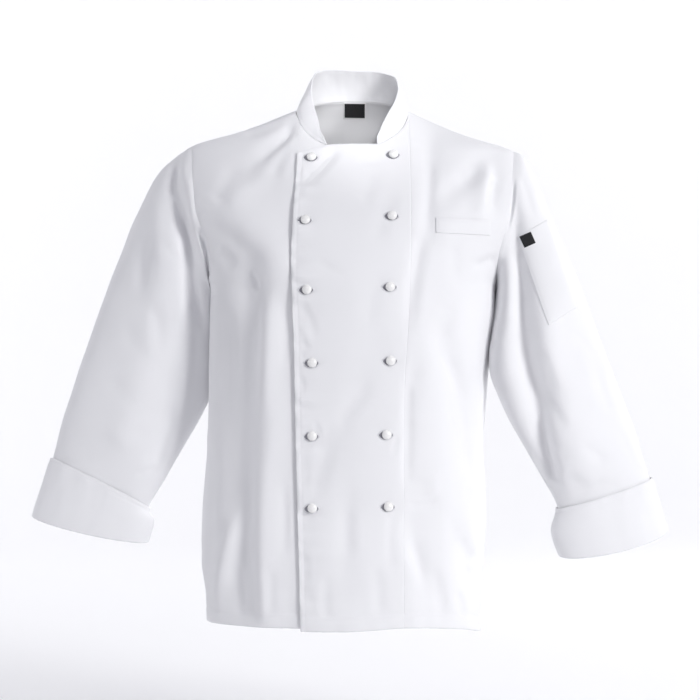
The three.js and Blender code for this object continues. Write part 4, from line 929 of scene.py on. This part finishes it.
def addCuff(name):
    size, rows, insideRows = cuff, cuff["rows"], cuff["insideRows"]
    turns = np.arange(size["columns"]) * 2 * math.pi / size["columns"]
    last = len(sleeves[name]["middle"]) - 1
    places = np.linspace(cuffStart[name], last, rows)
    points, normal = sleeveForm(name, places, turns)
    surface = gridNormals(points, True, normal)
    share = np.linspace(0, 1, rows)
    along, aroundCuff = arcs(points, 1), arcs(points, 0)
    stand = size["stand"] + size["bulge"] * np.sin(math.pi * share) + 0 * along
    stand += sum(groove(along, at, size["stitchDepth"], size["stitchWidth"]) for at in size["stitchRows"])
    toSeam = np.abs(aroundCuff - aroundCuff[len(turns) // 2] - size["seamFromEnd"])
    seamPuckers = size["seamPucker"] * waver(165, along / 7, 0.5) * np.exp(-toSeam / size["seamReach"])
    stand += groove(toSeam, 0, size["seamDepth"], size["seamWidth"]) + seamPuckers
    stand += pucker(161, aroundCuff, np.abs(along - 5), *size["pucker"]) + sink(along, *size["sink"])
    stand += size["waver"] * waver(163, turns[:, None] * 4, share[None] * 1.6)
    outside = points + surface * stand[..., None]
    down = points[:, -1] - points[:, -4]
    down /= np.linalg.norm(down, axis=-1, keepdims=True)
    bends = np.linspace(0, math.pi, size["lipSteps"])[1:-1]
    middle = size["stand"] / 2 - size["layer"]
    reach = size["stand"] / 2 + size["layer"]
    fold = [points[:, -1] + surface[:, -1] * (middle + reach * math.cos(b)) + down * size["lip"] * math.sin(b)
            for b in bends]
    insideFacing = surface[:, ::-1][:, :insideRows]
    inside = points[:, ::-1][:, :insideRows] - insideFacing * size["inset"]
    outer = np.concatenate((outside, np.stack(fold, 1), inside), 1)
    facing = np.concatenate((surface, np.repeat(surface[:, -1:], len(bends), 1), -insideFacing), 1)
    addCloth(name + "_cuff", outer, facing, around=True, thickness=size["thickness"])
    for at in size["stitchRows"]:
        ring = bandAcross(outside, arcs(outside, 1), at)
        stitchPaths[name + "_cuff"].append(np.concatenate((ring, ring[:1])))


for name in ("right", "left"):
    addSleeve(name)
    addCuff(name)
print("sleeves and cuffs")

# collar: its top edge by the angle round the neck from the front

collarTop = table(
    "turn x y z",
    (20, 32.5, -58, -50), (26, 35, -56, -43), (36, 39.5, -51, -33), (48, 44.5, -44, -21), (60, 51, -35, -8),
    (75, 60, -22, 12), (90, 64.5, -6, 36), (110, 60.5, 16, 55), (130, 47, 36, 63), (150, 27, 46, 66),
    (180, 0, 50, 66))
collar = {
    "columns": 190, "rows": 26, "thickness": 2.0, "bulge": 2, "fullHeight": 40, "lean": 3.5, "rightShift": -8,
    "tiltDrop": -1.2, "tilt": -0.05, "rightEnd": -38, "leftEnd": 36, "stitchAt": 5, "stitchDepth": 0.3,
    "footSink": (0.5, 1.5), "topSink": (0.4, 1), "pucker": (0.4, 12, 6), "wave": 0.7, "crinkle": 0.45,
}


def addCollar():
    wide = body["neckHalfWidth"]
    start = math.degrees(math.asin(collar["rightEnd"] / wide))
    end = math.degrees(math.asin(collar["leftEnd"] / wide))
    progress = np.linspace(0, 1, collar["columns"])        # from the right end round the back
    aroundNeck = start - (360 + start - end) * progress
    signed = (aroundNeck + 180) % 360 - 180
    turn = np.abs(signed)
    x = wide * np.sin(np.radians(signed))
    isFront = turn <= 90
    rightBase = bodySurface("rightFront", x, underNeckHeight(x))[0]
    leftBase = bodySurface("leftFront", x, neckHeight(x))[0]
    backBase = bodySurface("back", x, 0 * x)[0]
    base = np.where(isFront[:, None], np.where((x < 0)[:, None], rightBase, leftBase), backBase)
    sign = np.sign(x)
    shift = np.where(x < 0, collar["rightShift"], 0) * smoothStep(75, 30, turn)
    topX, topY, topZ = (curve(collarTop, "turn", axis)(turn) for axis in "xyz")
    edge = np.stack((sign * topX + collar["lean"] * smoothStep(60, 90, turn) + shift, topY, topZ), -1)
    edge[:, 2] += (collar["tiltDrop"] + collar["tilt"] * edge[:, 0]) * smoothStep(80, 120, turn)
    share = spaced(collar["rows"], (0, 0.1, 1.6), (1, 0.1, 1.6))
    outward = base * np.array([1, 1, 0])
    outward /= np.linalg.norm(outward, axis=-1, keepdims=True)
    tall = np.linalg.norm(edge - base, axis=-1)
    fullness = np.minimum(1, tall / collar["fullHeight"])
    bulge = collar["bulge"] * np.sin(math.pi * share)[None] * fullness[:, None]
    straight = base[:, None] + (edge - base)[:, None] * share[None, :, None]
    points = straight + outward[:, None] * bulge[..., None]
    reference = points.copy()
    reference[..., 2] = 60
    surface = gridNormals(points, False, reference)
    across, along = arcs(points, 0), arcs(points, 1)
    toTop = along[:, -1:] - along
    at, depth = collar["stitchAt"], collar["stitchDepth"]
    height = groove(along, at, depth) + groove(toTop, at, depth)
    height = height + sink(along, *collar["footSink"]) + sink(toTop, *collar["topSink"])
    crinkle = collar["crinkle"] * waver(173, (across + along / 2) / 8, along / 17)
    height += collar["wave"] * waver(171, across / 26, along / 30) + crinkle
    height += pucker(172, across, along, *collar["pucker"])
    outer = points + surface * (height * np.minimum(1, tall / 20)[:, None])[..., None]
    addCloth("collar", outer, surface, thickness=collar["thickness"])
    stitchPaths["collar"].append(bandAcross(outer, along, at)[8:-8])
    stitchPaths["collar"].append(bandAcross(outer[:, ::-1], toTop[:, ::-1], at)[8:-8])


addCollar()
print("collar")


# what lies on a panel: each point is found by looking at the panel from the front

trees = {}


def lookAt(name, x, z):
    if name not in trees:
        mesh = cloth[name]["object"].data
        co = np.empty(len(mesh.vertices) * 3)
        mesh.vertices.foreach_get("co", co)
        trees[name] = BVHTree.FromPolygons(co.reshape(-1, 3).tolist(), [p.vertices[:] for p in mesh.polygons])
    point, normal, _, _ = trees[name].ray_cast(Vector((x * mm, -1, z * mm)), Vector((0, 1, 0)))
    if normal.y > 0:
        normal = -normal
    return np.array(point) / mm, np.array(normal)


def layOn(name, corners, across, down):    # corners in front view: top start and end, bottom start and end
    u, v = np.meshgrid(np.linspace(0, 1, across), np.linspace(0, 1, down), indexing="ij")
    (ax, az), (bx, bz), (cx, cz), (dx, dz) = corners
    x = (ax * (1 - u) + bx * u) * (1 - v) + (cx * (1 - u) + dx * u) * v
    z = (az * (1 - u) + bz * u) * (1 - v) + (cz * (1 - u) + dz * u) * v
    spots = [[lookAt(name, x[i, j], z[i, j]) for j in range(down)] for i in range(across)]
    points = np.array([[spot[0] for spot in column] for column in spots])
    normals = np.array([[spot[1] for spot in column] for column in spots])
    return points, normals / np.linalg.norm(normals, axis=-1, keepdims=True)


def smoothed(points, times):
    for _ in range(times):
        points = points.copy()
        points[1:-1] = (points[:-2] + 2 * points[1:-1] + points[2:]) / 4
        points[:, 1:-1] = (points[:, :-2] + 2 * points[:, 1:-1] + points[:, 2:]) / 4
    return points


def addPatch(name, panel, corners, across, down, stand, thickness, material, stitchAt=None):
    points, normals = layOn(panel, corners, across, down)
    points = smoothed(points, 2)
    alongU, alongV = arcs(points, 0), arcs(points, 1)
    border = np.minimum(np.minimum(alongU, alongU[-1:] - alongU), np.minimum(alongV, alongV[:, -1:] - alongV))
    height = stand + thickness - 0.5 * np.exp(-border / 0.9)
    if stitchAt:
        height = height + groove(border, stitchAt, 0.35, 1.1)
    outer = points + normals * height[..., None]
    addCloth(name, outer, normals, thickness=thickness, material=material)
    if stitchAt:
        for grid, distance in ((outer, alongV), (outer[:, ::-1], (alongV[:, -1:] - alongV)[:, ::-1]),
                               (outer.transpose(1, 0, 2), alongU.T),
                               (outer[::-1].transpose(1, 0, 2), (alongU[-1:] - alongU)[::-1].T)):
            line = bandAcross(grid, distance, stitchAt)
            stitchPaths[name].append(line[2:-2])


addPatch("chest_pocket_welt", "left_front_side",
         ((119.5, -163), (198, -165), (119.5, -184.5), (198, -187)), 60, 22, 0.3, 1.6, cotton, 2.5)
addPatch("sleeve_pen_pocket", "left_sleeve",
         ((240, -189), (283, -163), (281, -316.5), (323, -291)), 40, 96, 0.3, 1.4, cotton, 2.5)
addPatch("sleeve_label", "sleeve_pen_pocket",
         ((242, -188), (258, -181), (249, -204.5), (265, -197.5)), 16, 16, 0.1, 0.6, wovenBlack)
addPatch("neck_label_edge", "back",
         ((-13.6, 18.4), (20.4, 18.0), (-13.6, -4.4), (20.4, -4.9)), 24, 18, 0.1, 0.4, labelEdge)
addPatch("neck_label", "neck_label_edge",
         ((-11.8, 16.8), (18.6, 16.4), (-11.8, -2.8), (18.6, -3.3)), 24, 18, 0.05, 0.5, wovenBlack)
print("pockets and labels")

# stud buttons and their buttonholes; each slit is a flat grey lens of painted shade

stud = {
    "radius": 7.0, "height": 6.4, "sides": 40,
    "shankRadius": 2.6, "edgeHeight": 1.9,
    # the eye and its rim sit left of and below the stud, so the dark lens shows where the stud's shadow
    # falls: painted shadow
    "hole": {"halfWidth": 11, "halfHeight": 6.4, "shiftX": -1.4, "shiftZ": -0.9},
}
buttonPlaces = table(
    "rightX rightZ leftX leftZ",
    (-59.2, -74, 59.1, -70.2), (-67.2, -166.6, 56.6, -160.7), (-64.8, -266.5, 53.5, -262.4),
    (-57.2, -370.4, 54.1, -367.6), (-57.4, -474.6, 48.3, -472.6), (-57.2, -576.9, 50.8, -574.8))


def latheMesh(name, profile, sides, material):
    points, faces = [], []
    for radius, height in profile:
        for k in range(sides):
            turn = 2 * math.pi * k / sides
            points.append((radius * math.cos(turn) * mm, -height * mm, radius * math.sin(turn) * mm))
    for i in range(len(profile) - 1):
        for k in range(sides):
            n = (k + 1) % sides
            faces.append((i * sides + k, (i + 1) * sides + k, (i + 1) * sides + n, i * sides + n))
    mesh = bpy.data.meshes.new(name)
    mesh.from_pydata(points, [], faces)
    mesh.polygons.foreach_set("use_smooth", np.ones(len(faces), bool))
    mesh.materials.append(material)
    return mesh


def placeMesh(name, mesh, point, normal):
    turned = Vector((0, -1, 0)).rotation_difference(Vector(normal))
    for vertex in mesh.vertices:
        vertex.co = turned @ vertex.co + Vector(point) * mm
    obj = bpy.data.objects.new(name, mesh)
    scene.collection.objects.link(obj)
    return obj


def addStud(name, x, z):
    point, normal = lookAt("left_front_placket", x, z)
    radius, shank, edge = stud["radius"], stud["shankRadius"], stud["edgeHeight"]
    dome = stud["height"] - edge
    bends = np.linspace(0, math.pi / 2, 12)
    profile = [(shank, 0.1), (shank, 1.2), (radius * 0.94, 1.3), (radius, edge)]
    profile += [(max(0.01, radius * math.cos(b)), edge + dome * math.sin(b)) for b in bends[1:]]
    return placeMesh(name, latheMesh(name, profile, stud["sides"], studWhite), point, normal)


def eyeOutline(count):                     # a pointed eye, wider than it is tall
    size = stud["hole"]
    turn = np.linspace(0, 2 * math.pi, count, endpoint=False)
    x = size["halfWidth"] * np.cos(turn)
    z = size["halfHeight"] * np.sin(turn) * (1 - 0.35 * np.abs(np.cos(turn)) ** 3)
    return x + size["shiftX"], z + size["shiftZ"]


# rings of a flat lens just above the placket: its grey is painted shade for the slit, and its outer ring also
# guides the stitched rim
def addEye(x, z):
    eyeX, eyeZ = eyeOutline(44)
    shiftX, shiftZ = stud["hole"]["shiftX"], stud["hole"]["shiftZ"]
    rings = []
    for share, lift in ((1, 0.05), (0.6, 0.12), (0.05, 0.12)):
        ring = []
        for a, b in zip(eyeX, eyeZ):
            spot = (x + shiftX + (a - shiftX) * share, z + shiftZ + (b - shiftZ) * share)
            point, normal = lookAt("left_front_placket", *spot)
            ring.append(point + normal * lift)
        rings.append(ring)
    grid = np.array(rings)
    count = len(eyeX)
    faces = []
    for near, far in ((0, count), (count, 2 * count)):
        for k in range(count):
            following = (k + 1) % count
            faces.append((near + k, near + following, far + following, far + k))
    return grid, faces


studs, slitShadePoints, slitShadeFaces, rimPaths = [], [], [], []
for i in range(6):
    for side in ("right", "left"):
        x, z = buttonPlaces[side + "X"][i], buttonPlaces[side + "Z"][i]
        studs.append((addStud(f"button_{side}_{i + 1}", x, z), f"button_{side}_{i + 1}"))
        grid, faces = addEye(x, z)
        shift = sum(len(points) for points in slitShadePoints)
        slitShadePoints.append(grid.reshape(-1, 3))
        slitShadeFaces += [tuple(n + shift for n in face) for face in faces]
        rim = grid[0]
        rimPaths.append(np.concatenate((rim, rim[:1])))
# all the lenses in one mesh of painted shade; no hole is cut
slitShadeMesh = bpy.data.meshes.new("buttonhole_slit_shade")
slitShadeMesh.from_pydata((np.concatenate(slitShadePoints) * mm).tolist(), [], slitShadeFaces)
slitShadeMesh.uv_layers.new(name="cloth")
slitShadeMesh.materials.append(slitShade)
slitShades = bpy.data.objects.new("buttonhole_slit_shade", slitShadeMesh)
scene.collection.objects.link(slitShades)
print("buttons")


# stitches along the sewn lines, by geometry nodes

def stitchTree(name):
    tree = bpy.data.node_groups.new(name, "GeometryNodeTree")
    face = tree.interface
    face.new_socket("Geometry", in_out="INPUT", socket_type="NodeSocketGeometry")
    for label, value in (("Spacing", 3.2), ("Length", 2.3), ("Width", 0.55), ("Height", 0.4)):
        face.new_socket(label, in_out="INPUT", socket_type="NodeSocketFloat").default_value = value * mm
    face.new_socket("Across", in_out="INPUT", socket_type="NodeSocketBool").default_value = False
    face.new_socket("Material", in_out="INPUT", socket_type="NodeSocketMaterial")
    face.new_socket("Geometry", in_out="OUTPUT", socket_type="NodeSocketGeometry")
    nodes, links = tree.nodes, tree.links
    given, result = nodes.new("NodeGroupInput"), nodes.new("NodeGroupOutput")
    toCurve, spread = nodes.new("GeometryNodeMeshToCurve"), nodes.new("GeometryNodeResampleCurve")
    spread.mode = "LENGTH"
    links.new(given.outputs["Geometry"], toCurve.inputs["Mesh"])
    links.new(toCurve.outputs["Curve"], spread.inputs["Curve"])
    links.new(given.outputs["Spacing"], spread.inputs["Length"])
    ball = nodes.new("GeometryNodeMeshUVSphere")
    setInputs(ball, Segments=6, Rings=4, Radius=0.5)
    size = nodes.new("ShaderNodeCombineXYZ")
    for axis, label in (("X", "Width"), ("Y", "Height"), ("Z", "Length")):
        links.new(given.outputs[label], size.inputs[axis])
    shape = nodes.new("GeometryNodeTransform")
    links.new(ball.outputs["Mesh"], shape.inputs["Geometry"])
    links.new(size.outputs["Vector"], shape.inputs["Scale"])
    tangent = nodes.new("GeometryNodeInputTangent")
    crossed = nodes.new("ShaderNodeVectorMath")
    crossed.operation = "CROSS_PRODUCT"
    crossed.inputs[1].default_value = (0, -1, 0)
    links.new(tangent.outputs["Tangent"], crossed.inputs[0])
    chosen = nodes.new("GeometryNodeSwitch")
    chosen.input_type = "VECTOR"
    links.new(given.outputs["Across"], chosen.inputs["Switch"])
    links.new(tangent.outputs["Tangent"], chosen.inputs["False"])
    links.new(crossed.outputs["Vector"], chosen.inputs["True"])
    aim = nodes.new("FunctionNodeAlignRotationToVector")
    aim.axis = "Z"
    links.new(chosen.outputs["Output"], aim.inputs["Vector"])
    instance = nodes.new("GeometryNodeInstanceOnPoints")
    links.new(spread.outputs["Curve"], instance.inputs["Points"])
    links.new(shape.outputs["Geometry"], instance.inputs["Instance"])
    links.new(aim.outputs["Rotation"], instance.inputs["Rotation"])
    real, smooth = nodes.new("GeometryNodeRealizeInstances"), nodes.new("GeometryNodeSetShadeSmooth")
    paint = nodes.new("GeometryNodeSetMaterial")
    links.new(instance.outputs["Instances"], smooth.inputs["Geometry"])
    links.new(smooth.outputs["Geometry"], real.inputs["Geometry"])
    links.new(real.outputs["Geometry"], paint.inputs["Geometry"])
    links.new(given.outputs["Material"], paint.inputs["Material"])
    links.new(paint.outputs["Geometry"], result.inputs["Geometry"])
    return tree


stitches = stitchTree("stitches")


def sewAlong(name, paths, **sizes):
    points, edges = [], []
    for path in paths:
        start = len(points)
        points += (path * mm).tolist()
        edges += [(start + k, start + k + 1) for k in range(len(path) - 1)]
    mesh = bpy.data.meshes.new(name + " path")
    mesh.from_pydata(points, edges, [])
    obj = bpy.data.objects.new(name, mesh)
    scene.collection.objects.link(obj)
    modifier = obj.modifiers.new("stitches", "NODES")
    modifier.node_group = stitches
    for item in stitches.interface.items_tree:
        if item.in_out == "INPUT" and item.name in sizes:
            modifier[item.identifier] = sizes[item.name]
    graph = bpy.context.evaluated_depsgraph_get()
    sewn = bpy.data.meshes.new_from_object(obj.evaluated_get(graph))
    obj.modifiers.remove(modifier)
    obj.data = sewn
    sewn.name = name
    if "cloth" not in sewn.uv_layers:
        sewn.uv_layers.new(name="cloth")
    return obj


sewnLines = [path for paths in stitchPaths.values() for path in paths]
sewing = sewAlong("topstitching", sewnLines, Material=threadWhite)
rims = sewAlong("buttonhole_edges", rimPaths, Material=threadWhite, Spacing=0.55 * mm, Length=2.6 * mm,
                Width=0.5 * mm, Height=0.9 * mm, Across=True)
print("stitches", len(sewing.data.polygons), "buttonhole_edges", len(rims.data.polygons))

# each piece's cloth laid flat: widest and longest reach, and the area where it is no rectangle

pieces = {
    "back": {"flat": (0.56, 0.83), "area": 0.403, "held": "draped"},
    "right_front": {"flat": (0.362, 0.786), "area": 0.236, "held": "draped"},
    "left_front_placket": {"flat": (0.217, 0.788), "area": 0.116, "held": "draped"},
    "left_front_side": {"flat": (0.197, 0.788), "area": 0.139, "held": "draped"},
    "right_sleeve": {"flat": (0.524, 0.613), "area": 0.218, "held": "draped"},
    "left_sleeve": {"flat": (0.508, 0.607), "area": 0.198, "held": "draped"},
    "right_cuff": {"flat": (0.412, 0.138), "area": 0.042, "held": "folded"},
    "left_cuff": {"flat": (0.393, 0.126), "area": 0.0413, "held": "folded"},
    "collar": {"flat": (0.431, 0.057), "area": 0.0161, "held": "draped"},
    "chest_pocket_welt": {"flat": (0.086, 0.0237), "area": None, "held": "laid"},
    "sleeve_pen_pocket": {"flat": (0.06, 0.141), "area": 0.00772, "held": "laid"},
    "sleeve_label": {"flat": (0.0192, 0.0192), "area": None, "held": "laid"},
    "neck_label": {"flat": (0.031, 0.0256), "area": None, "held": "laid"},
}
for name, piece in cloth.items():
    obj, outer = piece["object"], piece["outer"]
    width, length = arcs(outer, 0)[-1].max() * mm, arcs(outer, 1)[:, -1].max() * mm
    area = sum(p.area for p in obj.data.polygons) / 2
    print(f"{name}: {width:.3f} x {length:.3f} m, {area:.4f} m2, {len(obj.data.polygons)} faces")
    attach(obj, "root")
    if name in pieces:
        settings = pieces[name]
        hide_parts(name)
for obj, node in studs:
    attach(obj, "root")
    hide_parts(node)
for obj in (sewing, rims, slitShades):
    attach(obj, "root")
